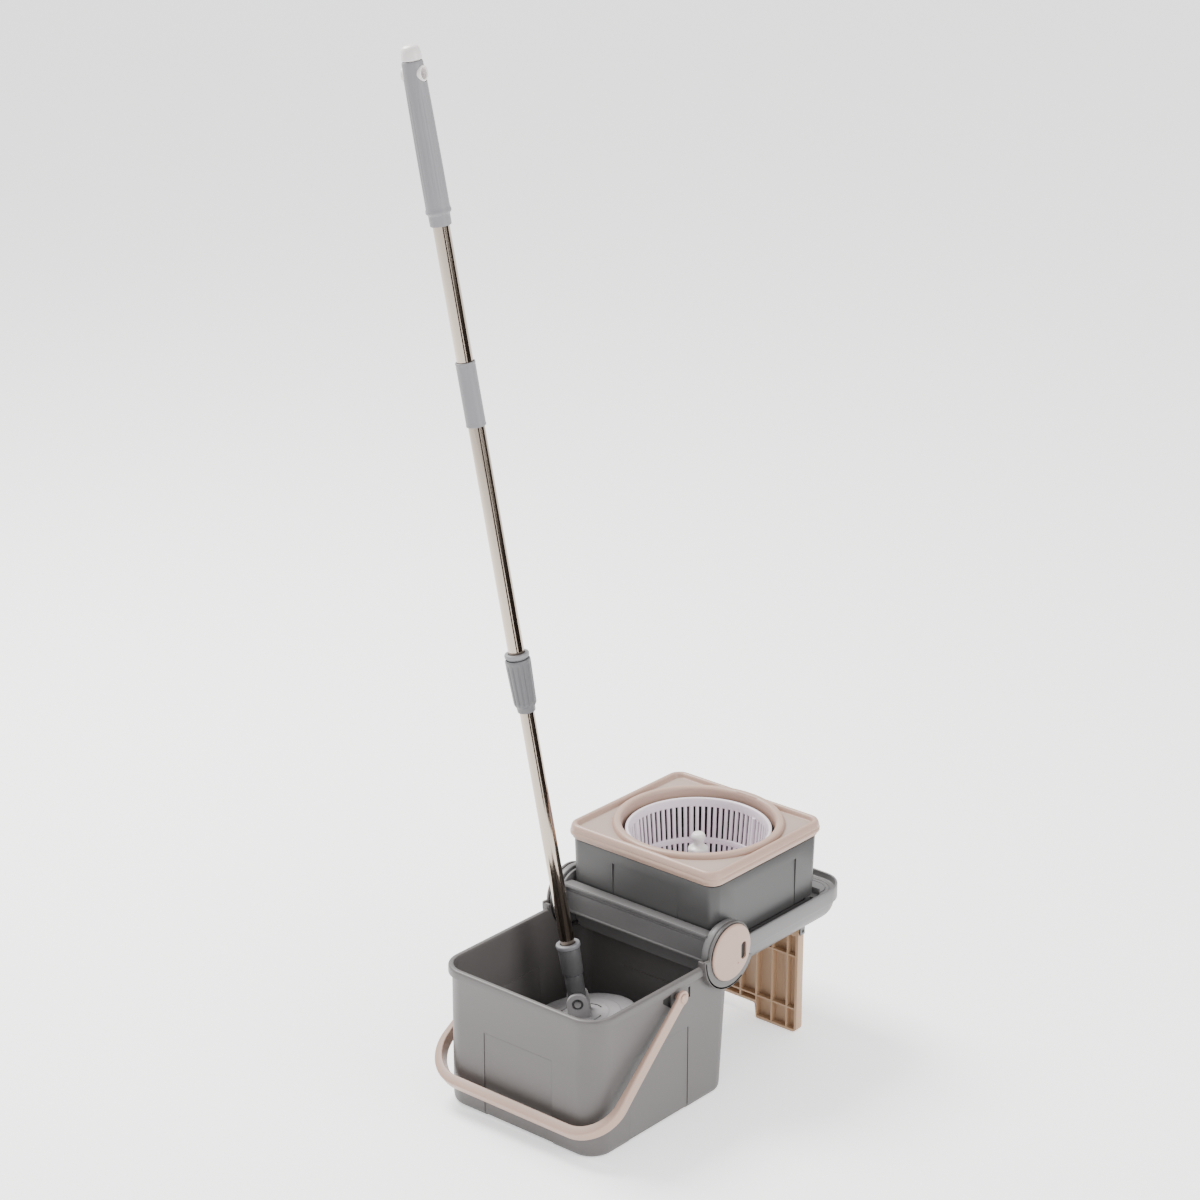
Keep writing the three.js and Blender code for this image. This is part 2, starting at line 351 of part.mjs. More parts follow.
// twisted drive rod and the nut that it turns: one turn per PITCH of travel
const PITCH = 100;
function twisted(half, thick, z0, z1, step = 18) {
  const rings = [], c = 0.5;
  const base = [[half, -thick + c], [half, thick - c], [half - c, thick], [-half + c, thick], [-half, thick - c], [-half, -thick + c], [-half + c, -thick], [half - c, -thick]];
  const count = Math.ceil(((z1 - z0) / PITCH) * (360 / step));
  for (let i = 0; i <= count; i++) {
    const z = z0 + ((z1 - z0) * i) / count, a = (2 * Math.PI * (z - 500)) / PITCH;
    rings.push(base.map(([x, y]) => [x * Math.cos(a) - y * Math.sin(a), x * Math.sin(a) + y * Math.cos(a), z]));
  }
  return loft(rings);
}
onMop("screw_rod", twisted(4.4, 1.6, 470, 877.5), STEEL);
onMop("drive_nut", cut(solid(turned([[0, 548], [8.4, 548], [8.4, 560], [9.4, 560], [9.4, 562], [0, 562]], 40)), twisted(4.9, 2.1, 545, 565, 6)), WHITE);
onMop("rod_guide", turned([[5.2, 536], [8.4, 536], [8.4, 546], [5.2, 546], [5.2, 536]], 40), WHITE);
onMop("rod_plug", turned([[0, 878], [5.2, 878], [5.2, 868], [9.6, 868], [9.6, 882], [0, 882]], 40), DARK);
onMop("mid_tube", turned([[10, 425.3], [10.5, 425.3], [10.5, 819.8], [10, 819.8], [10, 425.3]], 40), STEEL);
onMop("upper_tube", turned([[10, 820.2], [10.5, 820.2], [10.5, 1198], [10, 1198], [10, 820.2]], 40), STEEL);
onMop("joint_sleeve", turned([[10.8, POLE.sleeveLow], [12.2, POLE.sleeveLow], [12.5, POLE.sleeveLow + 1], [12.5, POLE.sleeveTop - 1], [12.2, POLE.sleeveTop], [10.8, POLE.sleeveTop], [10.8, POLE.sleeveLow]], 40), LIGHT);
onMop("lock_collet", turned([[9.8, 413], [11.4, 413], [12.2, 416], [12.2, 424.8], [9.8, 424.8], [9.8, 413]], 40), WHITE);
// twist collar with a fluted skirt
{
  let collar = solid(turned([[9.9, 403], [11, 403], [11.6, 404], [12, 410], [14.4, 414], [14.8, 418], [16.4, 470], [16.2, 473.4], [15.4, 474], [10.9, 474], [10.9, 425.6], [12.6, 425.2], [12.6, 412.6], [9.9, 412.4], [9.9, 403]], 48));
  const flutes = [];
  for (let i = 0; i < 14; i++) {
    const a = (2 * Math.PI * i) / 14;
    flutes.push(solid(new THREE.CylinderGeometry(1.5, 1.5, 56, 8).rotateX(Math.PI / 2).rotateY(Math.atan2(1.6, 52)).translate(16.7, 0, 444).rotateZ(a)));
  }
  onMop("lock_collar", cut(collar, add(...flutes)), DARK);
}
onMop("lock_ring", turned([[10.8, 474.4], [14.2, 474.4], [14.2, 476.4], [15.75, 476.6], [15.75, 480.6], [14.9, POLE.ringTop], [10.8, POLE.ringTop], [10.8, 474.4]], 48), LIGHT);
// hand grip, its end cap and the hanging eye
{
  let grip = solid(turned([[10.8, POLE.gripLow], [13.2, POLE.gripLow], [13.4, 1045], [15.6, 1046.5], [16, 1049.5], [15.2, 1052.5], [14.75, 1054], [14.6, 1120], [14, 1180], [13.35, 1224], [13.1, 1229], [12, POLE.gripTop], [0, POLE.gripTop], [0, 1198.4], [10.8, 1198.4], [10.8, POLE.gripLow]], 48));
  const eye = THREE.MathUtils.degToRad(64);
  const across = (r, len, z) => solid(new THREE.CylinderGeometry(r, r, len, 28).rotateZ(Math.PI / 2).rotateZ(eye).translate(0, 0, z));
  grip = cut(grip, across(10.3, 40, 1215));
  onMop("grip", grip, LIGHT);
  onMop("hang_ring", cut(across(10, 27.6, 1215), across(6.8, 40, 1215)), WHITE);
  onMop("grip_cap", turned([[0, POLE.gripTop + 0.3], [11.8, POLE.gripTop + 0.3], [12.6, POLE.gripTop + 2], [12.2, POLE.top - 8], [9.5, POLE.top - 2.4], [5, POLE.top - 0.4], [0, POLE.top]], 40), WHITE);
}

// stand the assembly on the floor with its footprint centred
part.updateMatrixWorld(true);
const bounds = new THREE.Box3().setFromObject(whole, true);
whole.position.set(-(bounds.min.x + bounds.max.x) / 2, -(bounds.min.y + bounds.max.y) / 2, -bounds.min.z);
part.updateMatrixWorld(true);
export default part;
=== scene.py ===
"""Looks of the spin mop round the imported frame. Metres, +Z up; the helpers work in the drawing's own millimetres."""
import math
import random

import bmesh
import bpy
from mathutils import Matrix, Vector


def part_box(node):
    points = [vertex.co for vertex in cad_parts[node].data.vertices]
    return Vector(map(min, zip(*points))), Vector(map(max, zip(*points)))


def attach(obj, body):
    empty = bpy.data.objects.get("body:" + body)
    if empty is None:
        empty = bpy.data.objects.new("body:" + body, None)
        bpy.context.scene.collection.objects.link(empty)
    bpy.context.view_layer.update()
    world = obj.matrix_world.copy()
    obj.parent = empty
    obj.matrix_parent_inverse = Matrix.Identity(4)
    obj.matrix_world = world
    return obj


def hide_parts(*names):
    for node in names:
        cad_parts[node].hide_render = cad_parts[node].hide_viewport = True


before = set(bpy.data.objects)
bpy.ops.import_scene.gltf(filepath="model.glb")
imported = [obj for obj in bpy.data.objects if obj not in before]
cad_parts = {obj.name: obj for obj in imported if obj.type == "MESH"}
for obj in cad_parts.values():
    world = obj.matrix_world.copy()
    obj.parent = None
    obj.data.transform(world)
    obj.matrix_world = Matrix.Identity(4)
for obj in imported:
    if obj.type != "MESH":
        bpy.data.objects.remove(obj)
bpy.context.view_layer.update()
random.seed(7)

# ---- drawing frame: X from the bucket's middle, Y from its front wall, Z from the floor (mm) -------------
_lo, _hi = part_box("wash_bucket")
OFF = Vector(((_lo.x + _hi.x) / 2 * 1000, _lo.y * 1000 + 5.0, 0.0))
BASE = Matrix.Diagonal((0.001, 0.001, 0.001, 1.0)) @ Matrix.Translation(OFF)
_n = Vector((-0.1472, -0.0692, 0.9867)).normalized()
_p = Vector((0.65, -0.76, 0.044))
_p = (_p - _n * _p.dot(_n)).normalized()
_q = _n.cross(_p)
PIVOT = Vector((-44.7, 167.1, 103.0))
MOP = BASE @ Matrix.Translation(PIVOT) @ Matrix((_p, _q, _n)).transposed().to_4x4()
pi = math.pi

# ---- mesh helpers --------------------------------------------------------------------------------------
def ring(hx, y0, y1, rf, rr, z, n=14):
    pts = []
    for cx, cy, r, a0 in ((hx - rf, y0 + rf, rf, -90), (hx - rr, y1 - rr, rr, 0), (-hx + rr, y1 - rr, rr, 90), (-hx + rf, y0 + rf, rf, 180)):
        for i in range(n + 1):
            a = math.radians(a0 + 90 * i / n)
            pts.append((cx + r * math.cos(a), cy + r * math.sin(a), z))
    return pts


def mesh_of(verts, faces, name="m"):
    me = bpy.data.meshes.new(name)
    me.from_pydata([tuple(v) for v in verts], [], faces)
    me.validate()
    return me


def loft(rings, cap=True, closed=False):
    n = len(rings[0])
    v = [p for r in rings for p in r]
    f = []
    m = len(rings)
    for k in range(m if closed else m - 1):
        a, b = k * n, ((k + 1) % m) * n
        for i in range(n):
            j = (i + 1) % n
            f.append((a + i, a + j, b + j, b + i))
    if cap and not closed:
        f.append(tuple(range(n - 1, -1, -1)))
        f.append(tuple((m - 1) * n + i for i in range(n)))
    return mesh_of(v, f)


def turned(profile, n=96, wave=None):
    """Solid of revolution round Z. The profile starts and ends on the axis, or closes on itself. wave(angle, r, z) gives a new radius."""
    closed = profile[0] == profile[-1]
    if closed:
        profile = profile[:-1]
    v, f, rows = [], [], []
    for r, z in profile:
        if r < 1e-6:
            rows.append([len(v)] * n)
            v.append((0, 0, z))
        else:
            rows.append(list(range(len(v), len(v) + n)))
            for i in range(n):
                a = 2 * pi * i / n
                rr = wave(a, r, z) if wave else r
                v.append((rr * math.cos(a), rr * math.sin(a), z))
    m = len(rows)
    for k in range(m if closed else m - 1):
        A, B = rows[k], rows[(k + 1) % m]
        for i in range(n):
            j = (i + 1) % n
            q = []
            for x in (A[i], A[j], B[j], B[i]):
                if x not in q:
                    q.append(x)
            if len(q) > 2:
                f.append(tuple(q))
    return mesh_of(v, f)


def fine(profile, step=0.8):
    """The same profile with its corners rounded by cutting them twice."""
    pts = [Vector(p) for p in profile]
    closed = profile[0] == profile[-1]
    for d in (step, step * 0.4):
        src = pts[:-1] if closed else pts
        out = []
        m = len(src)
        for i, p in enumerate(src):
            if not closed and i in (0, m - 1):
                out.append(p)
                continue
            a, b = src[(i - 1) % m], src[(i + 1) % m]
            la, lb = (a - p).length, (b - p).length
            out.append(p + (a - p) * min(d / la, 0.3))
            out.append(p + (b - p) * min(d / lb, 0.3))
        pts = out + [out[0].copy()] if closed else out
    return [(p.x, p.y) for p in pts]


def box(x0, x1, y0, y1, z0, z1):
    v = [(x, y, z) for z in (z0, z1) for y in (y0, y1) for x in (x0, x1)]
    return mesh_of(v, [(0, 2, 3, 1), (4, 5, 7, 6), (0, 1, 5, 4), (2, 6, 7, 3), (0, 4, 6, 2), (1, 3, 7, 5)])


def prism(points, x0, x1, axis="x"):
    """Outline in (y, z) swept along X, or in (x, z) swept along Y."""
    n = len(points)
    if axis == "x":
        v = [(x, a, b) for x in (x0, x1) for a, b in points]
    else:
        v = [(a, y, b) for y in (x1, x0) for a, b in points]
    f = [(i, (i + 1) % n, n + (i + 1) % n, n + i) for i in range(n)]
    me = mesh_of(v, f + [tuple(range(n - 1, -1, -1)), tuple(range(n, 2 * n))])
    b = bmesh.new(); b.from_mesh(me); bmesh.ops.recalc_face_normals(b, faces=b.faces); b.to_mesh(me); b.free()
    return me


def xform(me, M):
    me.transform(M)
    if M.determinant() < 0:
        me.flip_normals()
    return me


def along_x(me, s, x, y, z):
    """Turns a Z solid so that its +Z points to +X (s=1) or -X (s=-1), and stands it at x, y, z."""
    M = Matrix.Translation((x, y, z)) @ Matrix.Rotation(s * pi / 2, 4, "Y")
    return xform(me, M)


def bar_x(r, x0, x1, y, z, n=96, b=0.0):
    prof = [(0, 0), (r - b, 0), (r, b), (r, x1 - x0 - b), (r - b, x1 - x0), (0, x1 - x0)] if b else [(0, 0), (r, 0), (r, x1 - x0), (0, x1 - x0)]
    return along_x(turned(prof, n), 1, x0, y, z)


def bar_z(r, z0, z1, x=0, y=0, n=96):
    return xform(turned([(0, z0), (r, z0), (r, z1), (0, z1)], n), Matrix.Translation((x, y, 0)))


def _tmp(me):
    o = bpy.data.objects.new("tmp", me)
    bpy.context.scene.collection.objects.link(o)
    return o


def boolean(me, other, op="DIFFERENCE"):
    a, b = _tmp(me), _tmp(other)
    m = a.modifiers.new("b", "BOOLEAN")
    m.operation, m.object, m.solver = op, b, "EXACT"
    bpy.context.view_layer.update()
    out = bpy.data.meshes.new_from_object(a.evaluated_get(bpy.context.evaluated_depsgraph_get()))
    bpy.data.objects.remove(a); bpy.data.objects.remove(b)
    return out


def cut(me, *others):
    for o in others:
        me = boolean(me, o)
    return me


def add(me, *others):
    for o in others:
        me = boolean(me, o, "UNION")
    return me


def join(*meshes):
    b = bmesh.new()
    for m in meshes:
        b.from_mesh(m)
    me = bpy.data.meshes.new("j")
    b.to_mesh(me); b.free()
    return me


def bevelled(me, width, seg=2, angle=40):
    o = _tmp(me)
    m = o.modifiers.new("v", "BEVEL")
    m.width, m.segments, m.limit_method, m.angle_limit = width, seg, "ANGLE", math.radians(angle)
    m.use_clamp_overlap = True
    bpy.context.view_layer.update()
    out = bpy.data.meshes.new_from_object(o.evaluated_get(bpy.context.evaluated_depsgraph_get()))
    bpy.data.objects.remove(o)
    return out


def piece(name, me, mat, body, nodes, M=BASE, angle=32):
    me.transform(M)
    me.name = name
    o = bpy.data.objects.new(name, me)
    bpy.context.scene.collection.objects.link(o)
    me.materials.clear()
    me.materials.append(mat)
    for p in me.polygons:
        p.use_smooth = True
    me.set_sharp_from_angle(angle=math.radians(angle))
    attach(o, body)
    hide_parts(*nodes)
    return o


# ---- materials ------------------------------------------------------------------------------------------
def _nodes(name):
    m = bpy.data.materials.new(name)
    m.use_nodes = True
    nt = m.node_tree
    bsdf = next(n for n in nt.nodes if n.type == "BSDF_PRINCIPLED")
    return m, nt, nt.nodes, nt.links, bsdf


def _coord(nt, scale=(1, 1, 1)):
    tc = nt.nodes.new("ShaderNodeTexCoord")
    mp = nt.nodes.new("ShaderNodeMapping")
    mp.inputs["Scale"].default_value = scale
    nt.links.new(tc.outputs["Object"], mp.inputs["Vector"])
    return mp.outputs["Vector"]


def plastic(name, color, rough=0.5, grain=0.05, grain_scale=2600, vary=0.05, spec=0.5, sub=0.0, coat=0.0, deep=None):
    """Moulded plastic: slight cloudiness in colour and sheen, and a fine moulded grain."""
    m, nt, N, L, b = _nodes(name)
    v = _coord(nt)
    cloud = N.new("ShaderNodeTexNoise"); cloud.inputs["Scale"].default_value = 9; cloud.inputs["Detail"].default_value = 4
    ramp = N.new("ShaderNodeValToRGB")
    lo = deep or tuple(c * (1 - vary) for c in color); hi = tuple(min(1, c * (1 + vary)) for c in color)
    ramp.color_ramp.elements[0].color = (*lo, 1); ramp.color_ramp.elements[0].position = 0.3
    ramp.color_ramp.elements[1].color = (*hi, 1); ramp.color_ramp.elements[1].position = 0.7
    g = N.new("ShaderNodeTexNoise"); g.inputs["Scale"].default_value = grain_scale; g.inputs["Detail"].default_value = 3
    bump = N.new("ShaderNodeBump"); bump.inputs["Strength"].default_value = grain; bump.inputs["Distance"].default_value = 0.0002
    rr = N.new("ShaderNodeMapRange"); rr.inputs["To Min"].default_value = rough - 0.05; rr.inputs["To Max"].default_value = rough + 0.05
    L.new(v, cloud.inputs["Vector"]); L.new(v, g.inputs["Vector"])
    L.new(cloud.outputs["Fac"], ramp.inputs["Fac"]); L.new(ramp.outputs["Color"], b.inputs["Base Color"])
    L.new(cloud.outputs["Fac"], rr.inputs["Value"]); L.new(rr.outputs["Result"], b.inputs["Roughness"])
    L.new(g.outputs["Fac"], bump.inputs["Height"]); L.new(bump.outputs["Normal"], b.inputs["Normal"])
    b.inputs["Specular IOR Level"].default_value = spec
    b.inputs["Subsurface Weight"].default_value = sub
    b.inputs["Subsurface Radius"].default_value = (0.004, 0.003, 0.003)
    b.inputs["Coat Weight"].default_value = coat
    b.inputs["Coat Roughness"].default_value = 0.25
    return m


def dimpled(name, color, rough=0.5, scale=330):
    """As plastic, with rows of small moulded pits whose centres are painted darker as shade."""
    m = plastic(name, color, rough)
    nt = m.node_tree
    b = next(n for n in nt.nodes if n.type == "BSDF_PRINCIPLED")
    v = _coord(nt)
    vo = nt.nodes.new("ShaderNodeTexVoronoi"); vo.inputs["Scale"].default_value = scale; vo.inputs["Randomness"].default_value = 0.12
    r = nt.nodes.new("ShaderNodeValToRGB"); r.color_ramp.elements[0].position = 0.12; r.color_ramp.elements[1].position = 0.32
    bp = nt.nodes.new("ShaderNodeBump"); bp.inputs["Strength"].default_value = 0.5; bp.inputs["Distance"].default_value = 0.0006
    nt.links.new(v, vo.inputs["Vector"]); nt.links.new(vo.outputs["Distance"], r.inputs["Fac"])
    nt.links.new(r.outputs["Color"], bp.inputs["Height"])
    # the pit centres are darkened in the base colour: painted shade
    pit_shade = nt.nodes.new("ShaderNodeMix"); pit_shade.data_type = "RGBA"; pit_shade.blend_type = "MULTIPLY"; pit_shade.inputs["Factor"].default_value = 0.55
    nt.links.new(b.inputs["Base Color"].links[0].from_socket, pit_shade.inputs["A"]); nt.links.new(r.outputs["Color"], pit_shade.inputs["B"])
    nt.links.new(pit_shade.outputs["Result"], b.inputs["Base Color"])
    nt.links.new(b.inputs["Normal"].links[0].from_socket, bp.inputs["Normal"]); nt.links.new(bp.outputs["Normal"], b.inputs["Normal"])
    return m


def steel(name, color=(0.62, 0.585, 0.55), rough=0.16, fineness=(900, 900, 6)):
    m, nt, N, L, b = _nodes(name)
    tc = N.new("ShaderNodeTexCoord")
    rot = N.new("ShaderNodeMapping"); rot.vector_type = "TEXTURE"
    e = MOP.to_3x3().normalized().to_euler()
    rot.inputs["Rotation"].default_value = (e.x, e.y, e.z)
    mp = N.new("ShaderNodeMapping"); mp.inputs["Scale"].default_value = fineness
    L.new(tc.outputs["Object"], rot.inputs["Vector"]); L.new(rot.outputs["Vector"], mp.inputs["Vector"])
    g = N.new("ShaderNodeTexNoise"); g.inputs["Scale"].default_value = 1.0; g.inputs["Detail"].default_value = 4
    L.new(mp.outputs["Vector"], g.inputs["Vector"])
    rr = N.new("ShaderNodeMapRange"); rr.inputs["To Min"].default_value = rough - 0.04; rr.inputs["To Max"].default_value = rough + 0.08
    L.new(g.outputs["Fac"], rr.inputs["Value"]); L.new(rr.outputs["Result"], b.inputs["Roughness"])
    mix = N.new("ShaderNodeMix"); mix.data_type = "RGBA"
    mix.inputs["A"].default_value = (*[c * 0.94 for c in color], 1); mix.inputs["B"].default_value = (*color, 1)
    L.new(g.outputs["Fac"], mix.inputs["Factor"]); L.new(mix.outputs["Result"], b.inputs["Base Color"])
    bump = N.new("ShaderNodeBump"); bump.inputs["Strength"].default_value = 0.03; bump.inputs["Distance"].default_value = 0.0001
    L.new(g.outputs["Fac"], bump.inputs["Height"]); L.new(bump.outputs["Normal"], b.inputs["Normal"])
    b.inputs["Metallic"].default_value = 1.0
    return m


def fibre(name, color):
    m, nt, N, L, b = _nodes(name)
    v = _coord(nt, (1, 1, 1))
    g = N.new("ShaderNodeTexNoise"); g.inputs["Scale"].default_value = 900; g.inputs["Detail"].default_value = 5
    ramp = N.new("ShaderNodeValToRGB")
    ramp.color_ramp.elements[0].color = (*[c * 0.72 for c in color], 1); ramp.color_ramp.elements[1].color = (*color, 1)
    bump = N.new("ShaderNodeBump"); bump.inputs["Strength"].default_value = 0.6; bump.inputs["Distance"].default_value = 0.0008
    L.new(v, g.inputs["Vector"]); L.new(g.outputs["Fac"], ramp.inputs["Fac"]); L.new(ramp.outputs["Color"], b.inputs["Base Color"])
    L.new(g.outputs["Fac"], bump.inputs["Height"]); L.new(bump.outputs["Normal"], b.inputs["Normal"])
    b.inputs["Roughness"].default_value = 0.9
    b.inputs["Sheen Weight"].default_value = 0.4
    return m


M_BUCKET = plastic("bucket_plastic", (0.082, 0.0762, 0.0745), 0.46)
M_TRAY = plastic("tray_plastic", (0.112, 0.109, 0.109), 0.45)
M_BOX = plastic("box_plastic", (0.048, 0.047, 0.047), 0.42)
M_BEIGE = plastic("beige_plastic", (0.345, 0.232, 0.184), 0.42, vary=0.03, sub=0.05)
M_BEIGE_DOT = dimpled("beige_dimpled", (0.31, 0.235, 0.20))
M_LEG = plastic("leg_plastic", (0.35, 0.22, 0.13), 0.45, vary=0.04, sub=0.05)
M_BASKET = plastic("basket_plastic", (0.66, 0.585, 0.645), 0.28, grain=0.0, vary=0.02, sub=0.15, coat=0.3)
M_WHITE = plastic("white_plastic", (0.62, 0.585, 0.575), 0.32, grain=0.01, vary=0.015, sub=0.1)
M_STEEL = steel("stainless", (0.43, 0.365, 0.305), 0.11)
M_PIN = steel("plain_steel", (0.55, 0.55, 0.55), 0.3, (300, 300, 300))
M_DARK = plastic("dark_plastic", (0.082, 0.082, 0.085), 0.42)
M_COLLAR = plastic("collar_plastic", (0.105, 0.105, 0.112), 0.42)
M_LIGHT = plastic("light_plastic", (0.175, 0.172, 0.184), 0.48)
M_YOKE = plastic("yoke_plastic", (0.32, 0.31, 0.315), 0.42)
M_PAD = fibre("microfibre", (0.80, 0.79, 0.81))
M_INNER = plastic("inner_plastic", (0.45, 0.44, 0.42), 0.5)
# near-black used only for thin sheets set into slots and recesses as painted shade
M_PAINTED_SHADE = plastic("recess_painted_shade", (0.012, 0.011, 0.010), 0.7, grain=0.0)

# CAD nodes that keep their own shape get a finished material
for name, mat in {"axle_left": M_DARK, "axle_right": M_DARK, "leg_pin_left": M_PIN, "leg_pin_right": M_PIN, "spindle_bush": M_WHITE, "basket_spindle": M_PIN, "yoke_pin": M_PIN, "screw_rod": M_PIN, "drive_nut": M_WHITE, "rod_guide": M_INNER, "rod_plug": M_INNER, "lock_collet": M_WHITE}.items():
    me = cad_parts[name].data
    me.materials.clear()
    me.materials.append(mat)

# ---- wash bucket -----------------------------------------------------------------------------------------
def bring(z, inset):
    rear = 262 + 15 * min(z, 193.5) / 193.5
    return ring(127.5 - inset, inset, rear - inset, max(32 - inset, 5), max(26 - inset, 5), z)


prof = [(0, 7), (0.5, 4.8), (1.6, 2.8), (3.4, 1.3), (6, 0.35), (9, 0), (60, 0), (120, 0), (180.6, 0), (181.2, -0.3), (181.5, -1.0), (181.5, -4.0), (181.8, -4.7), (182.5, -5), (190, -5), (191.8, -4.7), (193, -3.7), (193.5, -2.2), (193.5, 0.2), (193.2, 1.4), (192.3, 2.2), (190.5, 2.6), (184, 3), (120, 3), (60, 3.2), (16, 3.5), (12, 4.5), (10, 6.4), (9.2, 9), (9, 13)]
bucket = loft([bring(z, i) for z, i in prof])
bucket = cut(bucket, box(-56.5, 57.5, -3, 0.7, -1, 119.5))
frame_cut = [box(-56.5, -55.8, -3, 1.1, -1, 119.5), box(56.8, 57.5, -3, 1.1, -1, 119.5), box(-56.5, 57.5, -3, 1.1, 118.8, 119.5)]
for s in (1, -1):
    bucket = cut(bucket, box(*sorted((s * 126.8, s * 131)), 68, 182, -1, 118))
    frame_cut += [box(*sorted((s * 126.4, s * 131)), 68, 68.7, -1, 118), box(*sorted((s * 126.2, s * 131)), 181.2, 182, -1, 118), box(*sorted((s * 126.4, s * 131)), 68, 182, 117.3, 118)]
bucket = cut(bucket, *frame_cut)
bucket = cut(bucket, box(-56.5, 57.5, -6, 290, -1, 4), box(-140, 140, 68, 182, -1, 4))
bucket = cut(bucket, bar_x(46, -140, 140, 253, 199, 128), box(-140, 140, 253, 300, 152, 240))
bucket = join(bucket)


def sector(R, a0, a1, r=0, n=48):
    pts = [(253 + R * math.cos(math.radians(a0 + (a1 - a0) * i / n)), 199 + R * math.sin(math.radians(a0 + (a1 - a0) * i / n))) for i in range(n + 1)]
    if r:
        pts += [(253 + r * math.cos(math.radians(a1 - (a1 - a0) * i / n)), 199 + r * math.sin(math.radians(a1 - (a1 - a0) * i / n))) for i in range(n + 1)]
    return pts


for s in (1, -1):
    web = bevelled(prism(sector(50, 178, 301, 46), *sorted((s * 124.6, s * 137.4))), 0.9, 2, 50)
    low = bevelled(prism(sector(50, 176, 336) + [(253, 199)], *sorted((s * 133.3, s * 137.4))), 1.0, 3, 50)
    plate = along_x(turned(fine([(0, 0), (41, 0), (41, 4.2), (39.0, 4.4), (38.6, 3.6), (0, 3.6)], 0.7), 128), s, s * 133.3, 253, 199)
    boss = along_x(turned(fine([(0, 0), (8, 0), (8, 6.4), (0, 6.4)], 0.5), 48), s, s * 126, 159, 170)
    cutter = bar_x(8.3, *sorted((s * 130, s * 145)), 253, 199, 64)
    bucket = cut(bucket, box(*sorted((s * 124.9, s * 131)), 181, 185, 159.5, 174), prism([(131, 170), (131.5, 175.5), (147.5, 176.5), (147.5, 157.5)], *sorted((s * 124.9, s * 131))))
    bucket = join(bucket, web, cut(low, cutter), cut(plate, bar_x(8.3, *sorted((s * 130, s * 145)), 253, 199, 64)), boss)
# the same panels stand proud inside
bucket = join(bucket, prism([(258.9, 9.5), (266.7, 112), (269.5, 112), (261.5, 9.5)], -56.5, 57.5), bevelled(box(-125.5, -123.7, 68, 182, 9, 118), 0.4), bevelled(box(123.7, 125.5, 68, 182, 9, 118), 0.4), bevelled(box(-56.5, 57.5, 2, 3.8, 9, 119.5), 0.4))
piece("bucket_shell", bucket, M_BUCKET, "bucket", ["wash_bucket"])
# thin near-black sheets at the bottom of the rim pin slots: painted shade for the deep recess
shade = [m for s in (1, -1) for m in (box(*sorted((s * 125.0, s * 125.4)), 181.1, 184.9, 159.6, 173.9), prism([(131.2, 170), (131.6, 175.3), (147.3, 176.3), (147.3, 157.8)], *sorted((s * 125.0, s * 125.4))))]
piece("rim_recess_painted_shade", join(*shade), M_PAINTED_SHADE, "bucket", ["wash_bucket"])

# ---- hub caps -------------------------------------------------------------------------------------------
for s, side in ((1, "right"), (-1, "left")):
    cap = along_x(turned(fine([(0, 0), (37.6, 0), (38, 1.4), (37.2, 2.9), (35.6, 3.5), (20, 3.7), (0, 3.7)], 0.5), 128), s, s * 137.8, 253, 199)
    pts = []
    for i in range(24):
        a = 2 * pi * (i + 0.5) / 24
        pts.append((275.5 + 5.2 * math.cos(a), 194.5 + 4.6 * math.sin(a) + (7.5 if math.sin(a) >= 0 else -7.5)))
    cap = cut(cap, prism(pts, *sorted((s * 138.3, s * 145))), bar_x(1.1, *sorted((s * 140.6, s * 145)), 264, 180.5, 20))
    piece("hub_cap_" + side + "_skin", cap, M_BEIGE, "bucket", ["hub_cap_" + side])
    # a near-black sheet at the bottom of each hub slot: painted shade standing in for the dark hole behind it
    shade_outline = [(275.5 + (y - 275.5) * 0.97, 194.5 + (z - 194.5) * 0.98) for y, z in pts]
    piece("hub_slot_" + side + "_painted_shade", prism(shade_outline, *sorted((s * 138.35, s * 138.9))), M_PAINTED_SHADE, "bucket", ["hub_cap_" + side])

# ---- bail handle ----------------------------------------------------------------------------------------
REACH, BEND = 215.0, 51.0
mid = [(135.6 + 10.2 * k / 8, (REACH - BEND) * k / 8) for k in range(9)]
for i in range(1, 33):
    a = pi / 2 * i / 32
    mid.append((145.8 - BEND + BEND * math.cos(a), REACH - BEND + BEND * math.sin(a)))
mid += [(-x, y) for x, y in reversed(mid)]
d = math.radians(37.2)
ax, ay = Vector((1, 0, 0)), Vector((0, -math.cos(d), -math.sin(d)))
az = ax.cross(ay)
rings = []
for i, m in enumerate(mid):
    a, b = Vector(mid[max(i - 1, 0)]), Vector(mid[min(i + 1, len(mid) - 1)])
    t = (b - a).normalized()
    nrm = Vector((t.y, -t.x))
    k = (m[1] / REACH) ** 2
    w, h = 8.4, (5 + 7.8 * k) / 2
    ro, ri = min(2.6, h * 0.62), min(1.4, h * 0.5)      # outside and inside edge rounding
    sect = []
    for sx, sy, r, a0 in ((1, 1, ro, 0), (-1, 1, ro, 90), (-1, -1, ri, 180), (1, -1, ri, 270)):
        for q in range(5):
            g = math.radians(a0 + 22.5 * q)
            sect.append((sx * (w - r) + r * math.cos(g), sy * (h - r) + r * math.sin(g)))
    rings.append([tuple(ax * (m[0] + nrm.x * v) + ay * (m[1] + nrm.y * v) + az * u + Vector((0, 159, 170))) for u, v in sect])
strap = loft(rings)
b_ = bmesh.new(); b_.from_mesh(strap); bmesh.ops.recalc_face_normals(b_, faces=b_.faces); b_.to_mesh(strap); b_.free()
handle = join(strap, *[along_x(turned(fine([(0, 0), (10.2, 0), (10.2, 4.4), (9.2, 5.0), (0, 5)], 0.9), 64), s, s * 133.1, 159, 170) for s in (1, -1)])
piece("bail_strap", handle, M_BEIGE, "handle", ["carry_handle"], angle=40)
